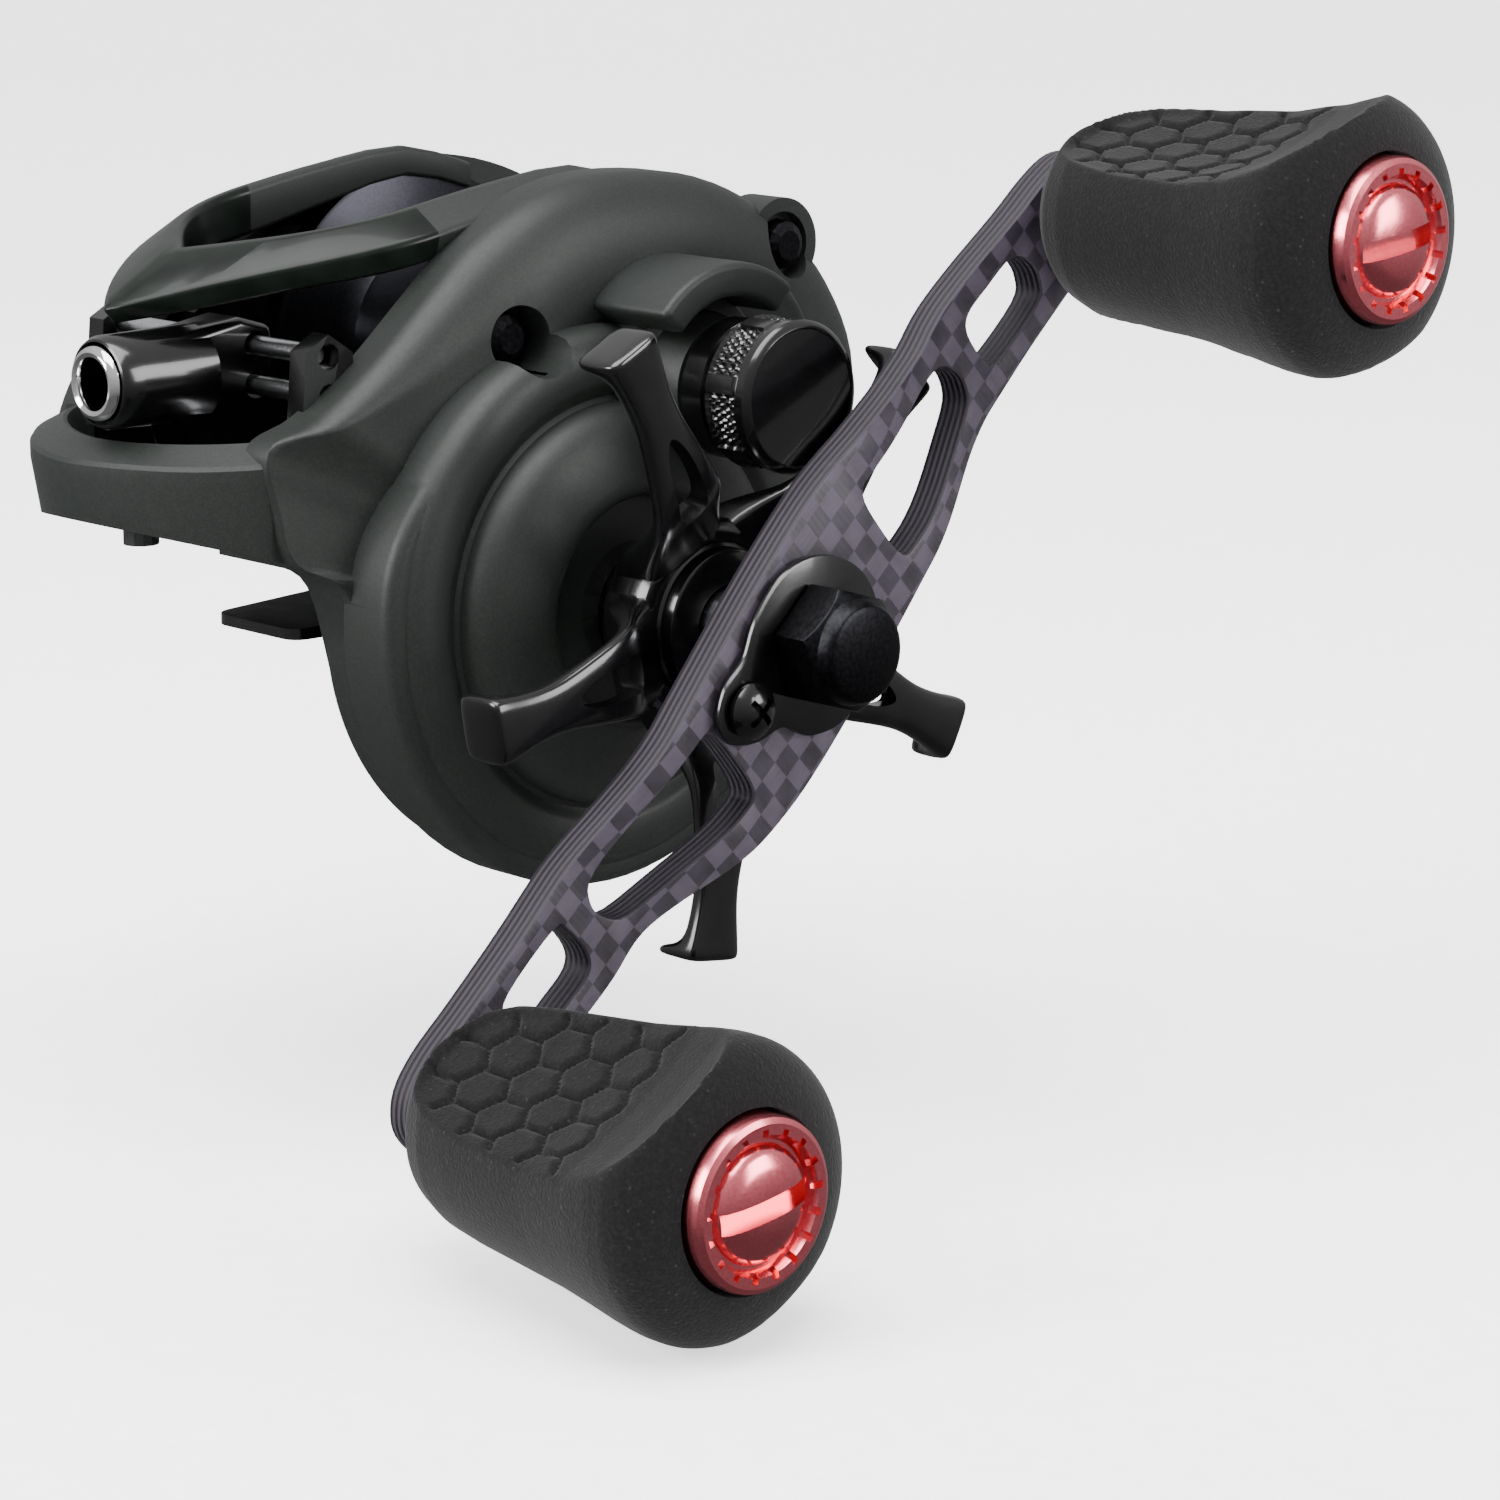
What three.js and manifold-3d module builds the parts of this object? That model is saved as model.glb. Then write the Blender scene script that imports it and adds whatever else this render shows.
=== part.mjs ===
// A low-profile baitcasting fishing reel, built as an assembly of separate pieces.
// Millimetres. +X is the handle side, -Y is the nose (towards the rod tip), +Z is up.
// The origin is the centre of the reel foot's underside.

import * as THREE from 'three';
import { mergeVertices } from 'three/addons/utils/BufferGeometryUtils.js';
import Module from 'manifold-3d';

const wasm = await Module();
wasm.setup();

// ---------------------------------------------------------------- driving sizes

const GAP = 0.3; // clearance between pieces that touch
const RUNNING = 0.35; // clearance round a part that turns or slides

const DRIVE_Y = -6.5; // axis of the drive shaft, handle, star and main gear
const DRIVE_Z = 3.0;
const SPOOL_Y = 2.2; // axis of the spool, pinion and tension knob
const SPOOL_Z = 22.5;
const CENTRES = Math.hypot(SPOOL_Y - DRIVE_Y, SPOOL_Z - DRIVE_Z);

const MAIN_TEETH = 72;
const PINION_TEETH = 10;
const GEAR_MODULE = (2 * CENTRES) / (MAIN_TEETH + PINION_TEETH);

const SPOOL_RADIUS = 16.5;
const SPOOL_X_HANDLE_SIDE = 10.2;
const SPOOL_X_PALM_SIDE = -15.8;
const SPOOL_SHAFT_RADIUS = 1.6;

const WALL_X_HANDLE_SIDE = 11.0; // inner faces of the frame's two side walls
const WALL_X_PALM_SIDE = -16.6;
const FRAME_WALL = 2.2;
const SHELL_WALL = 1.6;
const PLATE_X_OUTER = 20.5; // outer face of the handle-side plate round the spool
const PALM_X_OUTER = -26.0;

const COVER_RADIUS = 25.2; // gear cover, round the drive axis
const COVER_X_OUTER = 24.2;
const DOME_RADIUS = 18.8;
const DOME_X_TOP = 27.8;
const RECESS_RADIUS = 10.2;
const RECESS_X = 25.6;

const FOOT_LENGTH = 59.4;
const FOOT_WIDTH = 12.0;
const FOOT_TIP = 1.0;
const FOOT_MIDDLE = 3.2;

const STAR_ARMS = 5;
const STAR_TIP_ANGLE = 45.6; // of the arm nearest the tension knob, from +Y
const STAR_X_ROOT = 30.6;
const STAR_HUB_RADIUS = 9.4;

const KNOB_REACH = 51.3; // drive axis to each knob's axis
const HANDLE_ANGLE = 42.8; // of the handle above the horizontal, at rest
const HANDLE_THICKNESS = 3.5;
const HANDLE_X_END = 42.0; // inner face at the two ends
const HANDLE_CRANK = 3.3; // the hub stands this much further out than the ends
const KNOB_LENGTH = 34.5;
const KNOB_X_START = 46.6;
const CAP_RADIUS = 7.3;

const TENSION_X_FACE = 38.9;
const TENSION_RADIUS = 6.95;

const GUIDE_Y = -45.8; // line guide ring
const GUIDE_Z = 24.6;
const WORM_Y = -32.6;
const WORM_Z = 13.8;
const WORM_RADIUS = 2.2;
const ROD_Y = -30.9;
const ROD_Z = [26.8, 23.2];
const ROD_RADIUS = 0.9;
const CARRIAGE_HALF = 4.0;

const SHAFT_RADIUS = 3.4; // drive shaft
const PINION_X = [9.6, 17.6];
const PINION_BEARING_RADIUS = 5.0;
const GEAR_X = [15.4, 18.0]; // main gear's faces
const TRAIN_X = [13.6, 14.9]; // the level wind's gears, between frame and main gear
const TRAIN_TEETH = [40, 20, 10]; // on the drive shaft, idler, on the worm shaft

const SCREW_PLACES = [[-14.5, 27.4], [19.9, 32.9]]; // side plate screws
const SCREW_SHANK = 1.3;
const SCREW_HEAD = 2.4;
const SCREW_WELL = 3.1;
const FOOT_SCREW_Y = [-9, 9];

const ROUND = 20; // sides of a round piece

const HANDLE_TILT = THREE.MathUtils.degToRad(HANDLE_ANGLE);

// ---------------------------------------------------------------- materials

const finish = (color, roughness, metalness) => () =>
  new THREE.MeshStandardMaterial({ color, roughness, metalness });

const paintedBlack = finish(0x1b1f1c, 0.55, 0.3);
const glossBlack = finish(0x0b0d0c, 0.2, 0.4);
const foam = finish(0x2c282d, 0.95, 0);
const carbonPlate = finish(0x3a3440, 0.4, 0.1);
const pinkAnodised = finish(0xb0566a, 0.35, 0.9);
const steel = finish(0xb8babc, 0.3, 1);
const brass = finish(0xb48c46, 0.35, 1);
const darkSteel = finish(0x55585a, 0.4, 1);
const carbonWasher = finish(0x222222, 0.8, 0);

// ---------------------------------------------------------------- solids

function solid(geometry) {
  const bare = geometry.index ? geometry.toNonIndexed() : geometry.clone();
  bare.deleteAttribute('normal');
  bare.deleteAttribute('uv');
  const merged = mergeVertices(bare, 1e-4);
  const place = merged.attributes.position.array;
  const index = merged.index.array;
  const corner = (i) => new THREE.Vector3().fromArray(place, 3 * i);
  const triangles = [];
  let volume = 0;
  for (let i = 0; i < index.length; i += 3) {
    const [a, b, c] = [index[i], index[i + 1], index[i + 2]];
    if (a === b || b === c || c === a) continue;
    triangles.push([a, b, c]);
    volume += corner(a).dot(corner(b).cross(corner(c)));
  }
  const outwards = volume > 0 ? triangles : triangles.map(([a, b, c]) => [a, c, b]);
  const mesh = new wasm.Mesh({
    numProp: 3,
    vertProperties: Float32Array.from(place),
    triVerts: Uint32Array.from(outwards.flat()),
  });
  return new wasm.Manifold(mesh);
}

function geometryOf(manifold) {
  const { vertProperties, triVerts } = manifold.getMesh();
  const geometry = new THREE.BufferGeometry();
  geometry.setAttribute('position', new THREE.BufferAttribute(vertProperties, 3));
  geometry.setIndex(new THREE.BufferAttribute(triVerts, 1));
  return geometry;
}

const join = (first, ...rest) => rest.reduce((whole, piece) => whole.add(piece), first);
const cut = (first, ...rest) => rest.reduce((whole, piece) => whole.subtract(piece), first);

const assembly = new THREE.Group();

function axisGroup(y, z, parent = assembly) {
  const group = new THREE.Group();
  group.position.set(0, y, z);
  parent.add(group);
  return group;
}

function place(group, name, manifold, material) {
  const geometry = geometryOf(manifold);
  geometry.computeVertexNormals();
  const mesh = new THREE.Mesh(geometry, material());
  mesh.name = name;
  group.add(mesh);
  return mesh;
}

// A piece turned about X: the profile is [x, radius] pairs, open ends lie on the axis.
function turned(profile, sides = ROUND, ring = false) {
  const points = profile.map(([x, radius]) => new THREE.Vector2(radius, x));
  if (ring) points.push(points[0].clone());
  const geometry = new THREE.LatheGeometry(points, sides);
  geometry.rotateZ(-Math.PI / 2);
  return solid(geometry);
}

function rod(x0, x1, radius, sides = ROUND) {
  return turned([[x0, 0], [x0, radius], [x1, radius], [x1, 0]], sides);
}

function tube(x0, x1, inner, outer, sides = ROUND) {
  return turned([[x0, inner], [x0, outer], [x1, outer], [x1, inner]], sides, true);
}

// A prism along X: the outline is [y, z] pairs.
function prism(outline, x0, x1, bevel = 0, holes = []) {
  const shape = new THREE.Shape(outline.map(([y, z]) => new THREE.Vector2(y, z)));
  shape.holes = holes.map((hole) => new THREE.Path(hole.map(([y, z]) => new THREE.Vector2(y, z))));
  const geometry = new THREE.ExtrudeGeometry(shape, {
    depth: x1 - x0 - 2 * bevel,
    bevelEnabled: bevel > 0,
    bevelThickness: bevel,
    bevelSize: bevel,
    bevelOffset: -bevel,
    bevelSegments: 1,
  });
  const alongX = new THREE.Matrix4().makeBasis(
    new THREE.Vector3(0, 1, 0), new THREE.Vector3(0, 0, 1), new THREE.Vector3(1, 0, 0));
  geometry.applyMatrix4(alongX);
  geometry.translate(x0 + bevel, 0, 0);
  return solid(geometry);
}

function box([x0, y0, z0], [x1, y1, z1]) {
  const geometry = new THREE.BoxGeometry(x1 - x0, y1 - y0, z1 - z0);
  geometry.translate((x0 + x1) / 2, (y0 + y1) / 2, (z0 + z1) / 2);
  return solid(geometry);
}

const at = (manifold, y, z) => manifold.translate([0, y, z]);
const onDrive = (manifold) => at(manifold, DRIVE_Y, DRIVE_Z);
const onSpool = (manifold) => at(manifold, SPOOL_Y, SPOOL_Z);

// A closed smooth outline through a few [y, z] points.
function smooth(points, count) {
  const curve = new THREE.CatmullRomCurve3(
    points.map(([y, z]) => new THREE.Vector3(0, y, z)), true, 'centripetal');
  return curve.getSpacedPoints(count).slice(0, -1).map((p) => [p.y, p.z]);
}

// The same outline moved inwards by a distance; outlines run anticlockwise.
function inset(outline, distance) {
  const count = outline.length;
  return outline.map(([y, z], i) => {
    const [y0, z0] = outline[(i + count - 1) % count];
    const [y1, z1] = outline[(i + 1) % count];
    const length = Math.hypot(y1 - y0, z1 - z0);
    return [y - (distance * (z1 - z0)) / length, z + (distance * (y1 - y0)) / length];
  });
}

function circle(y, z, radius, count = ROUND) {
  return Array.from({ length: count }, (_, i) => {
    const turn = (2 * Math.PI * i) / count;
    return [y + radius * Math.cos(turn), z + radius * Math.sin(turn)];
  });
}

// A lofted solid: each ring is a list of [x, y, z] corners, all rings of one length.
function loft(rings) {
  const count = rings[0].length;
  const corners = rings.flat();
  const faces = [];
  for (let r = 0; r + 1 < rings.length; r += 1) {
    for (let i = 0; i < count; i += 1) {
      const a = r * count + i;
      const b = r * count + ((i + 1) % count);
      faces.push([a, b, b + count], [a, b + count, a + count]);
    }
  }
  const last = (rings.length - 1) * count;
  for (let i = 1; i + 1 < count; i += 1) {
    faces.push([0, i + 1, i], [last, last + i, last + i + 1]);
  }
  const geometry = new THREE.BufferGeometry();
  geometry.setAttribute('position', new THREE.Float32BufferAttribute(corners.flat(), 3));
  geometry.setIndex(faces.flat());
  return solid(geometry);
}

// ---------------------------------------------------------------- body outlines

// The reel's silhouette from the handle side, anticlockwise from the chin under the nose.
const gearCoverArc = [195, 230, 265, 300, 335].map((degrees) => {
  const turn = THREE.MathUtils.degToRad(degrees);
  return [DRIVE_Y + COVER_RADIUS * Math.cos(turn), DRIVE_Z + COVER_RADIUS * Math.sin(turn)];
});

const sideOutline = smooth([
  [-37.6, 9.6], [-33.2, 6.4],
  ...gearCoverArc,
  [21.5, 3.0], [28.0, 11.5], [30.4, 20.6], [26.9, 29.0], [19.8, 35.6], [10.8, 39.8],
  [0, 41.0], [-8.5, 40.0], [-16.2, 36.8], [-21.8, 31.4], [-28.2, 24.2], [-35.0, 19.8],
  [-40.6, 18.4], [-39.8, 13.6],
], 38);

const palmOutline = smooth([
  [-34.0, 10.0], [-28.5, 5.6], [-20.0, 3.4], [-6.0, 2.6], [9.0, 3.4],
  [21.5, 7.0], [28.6, 14.0], [31.2, 22.0], [28.0, 29.5], [21.5, 35.4], [13.0, 38.8],
  [2.9, 39.8], [-8.0, 38.4], [-17.0, 35.0], [-24.5, 30.2], [-30.0, 25.2], [-33.8, 20.6],
  [-35.6, 15.5],
], 28);

// A gear about X: teeth are trapezoids, with one tooth centred on `phase` degrees.
function gearOutline(teeth, module, phase) {
  const pitch = (teeth * module) / 2;
  const flank = [[-0.27, -1.15], [-0.11, 0.85], [0.11, 0.85], [0.27, -1.15]];
  const outline = [];
  for (let tooth = 0; tooth < teeth; tooth += 1) {
    for (const [share, height] of flank) {
      const turn = THREE.MathUtils.degToRad(phase) + (2 * Math.PI * (tooth + share)) / teeth;
      const radius = pitch + height * module;
      outline.push([radius * Math.cos(turn), radius * Math.sin(turn)]);
    }
  }
  return outline;
}

const drive = axisGroup(DRIVE_Y, DRIVE_Z);
const spoolAxis = axisGroup(SPOOL_Y, SPOOL_Z);

// ---------------------------------------------------------------- level wind train

const trainDistance = Math.hypot(WORM_Y - DRIVE_Y, WORM_Z - DRIVE_Z);
const [DRIVER_TEETH, IDLER_TEETH, WORM_TEETH] = TRAIN_TEETH;
const TRAIN_MODULE = (2 * trainDistance) / (DRIVER_TEETH + 2 * IDLER_TEETH + WORM_TEETH);
const trainAngle = THREE.MathUtils.radToDeg(Math.atan2(WORM_Z - DRIVE_Z, WORM_Y - DRIVE_Y));
const idlerShare = ((DRIVER_TEETH + IDLER_TEETH) * TRAIN_MODULE) / 2 / trainDistance;
const IDLER_Y = DRIVE_Y + idlerShare * (WORM_Y - DRIVE_Y);
const IDLER_Z = DRIVE_Z + idlerShare * (WORM_Z - DRIVE_Z);
const idlerAxis = axisGroup(IDLER_Y, IDLER_Z);
const wormAxis = axisGroup(WORM_Y, WORM_Z);
const IDLER_BORE = 2.0;

place(drive, 'level_wind_drive_gear', prism(
  gearOutline(DRIVER_TEETH, TRAIN_MODULE, trainAngle), ...TRAIN_X, 0,
  [circle(0, 0, SHAFT_RADIUS + GAP, 24)]), brass);
place(idlerAxis, 'idler_gear', prism(
  gearOutline(IDLER_TEETH, TRAIN_MODULE, trainAngle + 180 / IDLER_TEETH), ...TRAIN_X, 0,
  [circle(0, 0, IDLER_BORE, 20)]), brass);
const WORM_X = [WALL_X_PALM_SIDE - 1.6, TRAIN_X[1]];
place(wormAxis, 'worm_shaft', turned([
  [WORM_X[0], 0], [WORM_X[0], 1.5], [WALL_X_PALM_SIDE + 0.6, 1.5], [WALL_X_PALM_SIDE + 1, WORM_RADIUS],
  [WALL_X_HANDLE_SIDE - 1, WORM_RADIUS], [WALL_X_HANDLE_SIDE - 0.6, 1.5], [WORM_X[1] + 0.8, 1.5],
  [WORM_X[1] + 0.8, 0]], 16), steel);
place(wormAxis, 'worm_gear', prism(
  gearOutline(WORM_TEETH, TRAIN_MODULE, trainAngle + 180), ...TRAIN_X, 0,
  [circle(0, 0, 1.5 + GAP, 20)]), brass);

// ---------------------------------------------------------------- frame

const wallOutline = inset(sideOutline, 3.4);
const palmWallOutline = inset(palmOutline, 3.4);
const NOSE_LENGTH = 14.2; // from the nose's back to its tip
const NOSE_Y_BACK = -36.0;
const NOSE_X_MIDDLE = -1.5;
const NOSE_HALF_WIDTH = 18.6;
const NOSE_POWER = 1.7; // 2 would be an ellipse, 1 a wedge
const NOSE_WALL = 2.4;
const CHIN_WALL = 1.6;
const NOSE_Z_TOP = 19.4;
const NOSE_Z_BOTTOM = 8.4;
const NOSE_RISE = 16; // degrees, the chin's slope up to the front

// The nose in plan, as [x, y] corners: half a pointed ellipse with a straight back.
function noseShape(margin) {
  const shape = new THREE.Shape();
  const halfWidth = NOSE_HALF_WIDTH - margin;
  const length = NOSE_LENGTH - margin;
  shape.moveTo(NOSE_X_MIDDLE - halfWidth, NOSE_Y_BACK + 1);
  for (let step = 0; step <= 20; step += 1) {
    const across = Math.cos(Math.PI * (1 + step / 20));
    const ahead = (1 - Math.abs(across) ** NOSE_POWER) ** (1 / NOSE_POWER);
    shape.lineTo(NOSE_X_MIDDLE + halfWidth * across, NOSE_Y_BACK - length * ahead);
  }
  shape.lineTo(NOSE_X_MIDDLE + halfWidth, NOSE_Y_BACK + 1);
  return shape;
}

function upright(shape, z0, z1) {
  const geometry = new THREE.ExtrudeGeometry(shape, { depth: z1 - z0, bevelEnabled: false });
  geometry.translate(0, 0, z0);
  return solid(geometry);
}

function noseTrough() {
  const chin = box([-60, -80, -30], [60, 20, 0]).rotate([-NOSE_RISE, 0, 0]);
  const outside = cut(
    upright(noseShape(0), NOSE_Z_BOTTOM, NOSE_Z_TOP),
    chin.translate([0, NOSE_Y_BACK, NOSE_Z_BOTTOM + 0.6]));
  const inside = cut(
    upright(noseShape(NOSE_WALL), NOSE_Z_BOTTOM, NOSE_Z_TOP + 5),
    chin.translate([0, NOSE_Y_BACK, NOSE_Z_BOTTOM + 0.6 + CHIN_WALL]));
  return cut(outside, inside);
}

// Everything the two side plates take up, with a gap, so that the frame stays clear of it.
const plateSpace = join(
  prism(sideOutline, WALL_X_HANDLE_SIDE + FRAME_WALL + GAP, 60),
  prism(palmOutline, -60, WALL_X_PALM_SIDE - FRAME_WALL - GAP),
);

function footScrewHole(y) {
  return solid(new THREE.CylinderGeometry(SCREW_SHANK + GAP, SCREW_SHANK + GAP, 12, 12))
    .rotate([90, 0, 0]).translate([0, y, 3]);
}

function frame() {
  const handleWall = prism(wallOutline, WALL_X_HANDLE_SIDE, WALL_X_HANDLE_SIDE + FRAME_WALL);
  const palmWall = prism(palmWallOutline, WALL_X_PALM_SIDE - FRAME_WALL, WALL_X_PALM_SIDE);
  const left = WALL_X_PALM_SIDE - FRAME_WALL / 2;
  const right = WALL_X_HANDLE_SIDE + FRAME_WALL / 2;
  const bottomBeam = box([left, -20, 3.6], [right, 18, 5.2]);
  const footSeat = box([-7, -14, 2.0], [7, 14, 4.4]);
  const rearBeam = box([left, 21.6, 8.4], [right, 24.8, 17.5]);
  const chinBeam = box([left, NOSE_Y_BACK - 1, 8.9], [right, -24, 10.3]);
  const ear = [[-34.6, 14], [-27.4, 14], [-28.2, 27.0], [-30.9, 28.8], [-33.4, 27.4]];
  const handleEar = prism(ear, WALL_X_HANDLE_SIDE, WALL_X_HANDLE_SIDE + FRAME_WALL);
  const palmEar = prism(ear, WALL_X_PALM_SIDE - FRAME_WALL, WALL_X_PALM_SIDE);
  const idlerStub = at(rod(WALL_X_HANDLE_SIDE + 1, TRAIN_X[1] + 0.4, IDLER_BORE - RUNNING, 14),
    IDLER_Y, IDLER_Z);
  return cut(
    join(handleWall, palmWall, bottomBeam, footSeat, rearBeam, chinBeam, handleEar, palmEar,
      noseTrough().subtract(plateSpace), idlerStub),
    onSpool(rod(-20, WALL_X_PALM_SIDE + 0.5, SPOOL_RADIUS + 0.6)),
    onSpool(rod(10, 14, PINION_BEARING_RADIUS + RUNNING, 18)),
    onDrive(rod(10, 14, SHAFT_RADIUS + RUNNING, 18)),
    at(rod(-20, 14, 1.5 + RUNNING, 14), WORM_Y, WORM_Z),
    ...ROD_Z.map((z) => at(rod(-20, 14, ROD_RADIUS + GAP, 12), ROD_Y, z)),
    ...SCREW_PLACES.map(([y, z]) => at(rod(10, 14, SCREW_SHANK + GAP, 12), y, z)),
    ...FOOT_SCREW_Y.map(footScrewHole),
  );
}

place(assembly, 'frame', frame(), paintedBlack);

// ---------------------------------------------------------------- side plates

const HOOD_RADII = [8.4, 12.0]; // arched hood over the tension knob
const HOOD_ANGLES = [52, 140];
const HOOD_X = 31.0;
const BOSS_RADIUS = 6.0; // threaded boss that the tension knob screws on
const BOSS_X = 29.0;

function arc(inner, outer, from, to, steps = 14) {
  const edge = (radius, start, end) => Array.from({ length: steps + 1 }, (_, i) => {
    const turn = THREE.MathUtils.degToRad(start + ((end - start) * i) / steps);
    return [radius * Math.cos(turn), radius * Math.sin(turn)];
  });
  return [...edge(outer, from, to), ...edge(inner, to, from)];
}

const coverProfile = [
  [WALL_X_HANDLE_SIDE + FRAME_WALL + GAP, 0], [WALL_X_HANDLE_SIDE + FRAME_WALL + GAP, COVER_RADIUS],
  [COVER_X_OUTER - 2.4, COVER_RADIUS], [COVER_X_OUTER - 0.7, COVER_RADIUS - 0.8],
  [COVER_X_OUTER, COVER_RADIUS - 2.6], [COVER_X_OUTER, DOME_RADIUS + 1.2],
  [COVER_X_OUTER - 0.6, DOME_RADIUS + 0.4], [COVER_X_OUTER + 0.8, DOME_RADIUS - 0.4],
  [DOME_X_TOP - 1.2, RECESS_RADIUS + 4.2], [DOME_X_TOP, RECESS_RADIUS + 1.4],
  [DOME_X_TOP - 0.3, RECESS_RADIUS], [RECESS_X, RECESS_RADIUS - 0.2], [RECESS_X, 0],
];

function handleSidePlate() {
  const inner = WALL_X_HANDLE_SIDE + FRAME_WALL + GAP;
  const shell = join(
    prism(sideOutline, inner - 4, PLATE_X_OUTER, 3),
    onDrive(turned(coverProfile, 28)),
    onSpool(rod(PLATE_X_OUTER - 2, BOSS_X, BOSS_RADIUS, 20)),
    onSpool(prism(arc(...HOOD_RADII, ...HOOD_ANGLES), PLATE_X_OUTER - 2, HOOD_X, 0.5)),
  );
  const wells = SCREW_PLACES.map(([y, z]) => at(rod(inner, PLATE_X_OUTER - 1, SCREW_WELL + 1.2, 16), y, z));
  const hollow = cut(
    join(
      prism(inset(sideOutline, SHELL_WALL), inner - 10, PLATE_X_OUTER - SHELL_WALL, 2),
      onDrive(rod(inner - 10, COVER_X_OUTER - SHELL_WALL, COVER_RADIUS - SHELL_WALL - 0.6, 24)),
    ),
    ...wells);
  const tidyBack = box([inner - 20, -60, -40], [inner, 60, 60]);
  return cut(shell, hollow, tidyBack,
    onSpool(rod(inner - 10, BOSS_X + 5, SPOOL_SHAFT_RADIUS + 1.0, 16)),
    onDrive(rod(inner - 10, DOME_X_TOP + 1, BEARING_OUTER + GAP, 20)),
    ...SCREW_PLACES.map(([y, z]) => at(rod(16.8, PLATE_X_OUTER + 3, SCREW_WELL, 16), y, z)),
    ...SCREW_PLACES.map(([y, z]) => at(rod(inner - 2, 18, SCREW_SHANK + GAP, 12), y, z)));
}

function palmSidePlate() {
  const inner = WALL_X_PALM_SIDE - FRAME_WALL - GAP;
  const shell = prism(palmOutline, PALM_X_OUTER, inner + 4, 3.6);
  const hollow = prism(inset(palmOutline, SHELL_WALL), PALM_X_OUTER + SHELL_WALL, inner + 12, 2.5);
  return cut(shell, hollow,
    box([inner, -60, -40], [inner + 20, 60, 60]),
    onSpool(rod(PALM_X_OUTER - 2, PALM_X_OUTER + 1.0, DIAL_RADIUS + RUNNING, ROUND)),
    onSpool(rod(PALM_X_OUTER - 2, inner + 2, 2.6 + RUNNING, 16)));
}

const BEARING_OUTER = 6.0; // anti-reverse roller bearing on the drive shaft
const DIAL_RADIUS = 9.0;
place(assembly, 'handle_side_plate', handleSidePlate(), paintedBlack);
place(assembly, 'palm_side_plate', palmSidePlate(), paintedBlack);

// ---------------------------------------------------------------- front hood

const HOOD_TIP_Y = -43.4;
const HOOD_BACK_Y = 7.0;
const HOOD_ARM = 4.6;
const HOOD_TIP_SHARE = 2.0; // the solid tip is this much longer than the arms are wide

function frontHood() {
  const left = WALL_X_PALM_SIDE - FRAME_WALL;
  const right = WALL_X_HANDLE_SIDE + FRAME_WALL;
  const middle = (left + right) / 2;
  const outline = (margin) => {
    const shape = new THREE.Shape();
    shape.moveTo(left + margin, HOOD_BACK_Y + margin * 4);
    shape.lineTo(left + margin, -18);
    const tip = HOOD_TIP_Y + margin * HOOD_TIP_SHARE;
    shape.bezierCurveTo(left + margin, -25, middle - 8, tip + 5.5, middle, tip);
    shape.bezierCurveTo(middle + 8, tip + 5.5, right - margin, -25, right - margin, -18);
    shape.lineTo(right - margin, HOOD_BACK_Y + margin * 4);
    return shape;
  };
  const loop = cut(upright(outline(0), 20, 50), upright(outline(HOOD_ARM), 19, 51));
  const band = [
    [-45, 28.9], [-37.5, 31.2], [-27.5, 34.0], [-18.6, 36.4], [-8, 38.6], [1, 39.9], [8, 39.6],
    [8, 40.8], [1, 41.4], [-8.6, 40.4], [-19.6, 38.9], [-34.5, 36.0], [-41, 34.0], [-45, 32.2],
  ];
  return loop.intersect(prism(band, left - 1, right + 1));
}

place(assembly, 'front_hood', frontHood(), glossBlack);

// ---------------------------------------------------------------- reel foot

function reelFoot() {
  const half = FOOT_LENGTH / 2;
  const side = [
    [-half, 0], [half, 0], [half, FOOT_TIP], [16, FOOT_MIDDLE - 1.5], [14, FOOT_MIDDLE - 1.5],
    [-14, FOOT_MIDDLE - 1.5], [-16, FOOT_MIDDLE - 1.5], [-half, FOOT_TIP],
  ];
  const blank = prism(side, -FOOT_WIDTH / 2, FOOT_WIDTH / 2);
  const corners = new THREE.Shape();
  const [w, c] = [FOOT_WIDTH / 2, 2.0];
  corners.moveTo(-w + c, -half);
  corners.lineTo(w - c, -half);
  corners.quadraticCurveTo(w, -half, w, -half + c);
  corners.lineTo(w, half - c);
  corners.quadraticCurveTo(w, half, w - c, half);
  corners.lineTo(-w + c, half);
  corners.quadraticCurveTo(-w, half, -w, half - c);
  corners.lineTo(-w, -half + c);
  corners.quadraticCurveTo(-w, -half, -w + c, -half);
  return cut(blank.intersect(upright(corners, -1, 6)), ...FOOT_SCREW_Y.map(footScrewHole));
}

place(assembly, 'reel_foot', reelFoot(), glossBlack);

// ---------------------------------------------------------------- spool

const DRUM_RADIUS = 9.6;

function spool() {
  const [a, b] = [SPOOL_X_PALM_SIDE, SPOOL_X_HANDLE_SIDE];
  return turned([
    [a, SPOOL_RADIUS], [a + 0.9, SPOOL_RADIUS], [a + 2.4, DRUM_RADIUS + 1], [a + 3.4, DRUM_RADIUS],
    [b - 3.4, DRUM_RADIUS], [b - 2.4, DRUM_RADIUS + 1], [b - 0.9, SPOOL_RADIUS], [b, SPOOL_RADIUS],
    [b - 1.7, DRUM_RADIUS - 1], [b - 3.4, 4.2], [b - 8, 3.4],
    [b - 8, SPOOL_SHAFT_RADIUS + GAP], [a + 9, SPOOL_SHAFT_RADIUS + GAP], [a + 9, DRUM_RADIUS - 1.4],
    [a + 1.4, DRUM_RADIUS - 0.6],
  ], 20, true);
}

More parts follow.
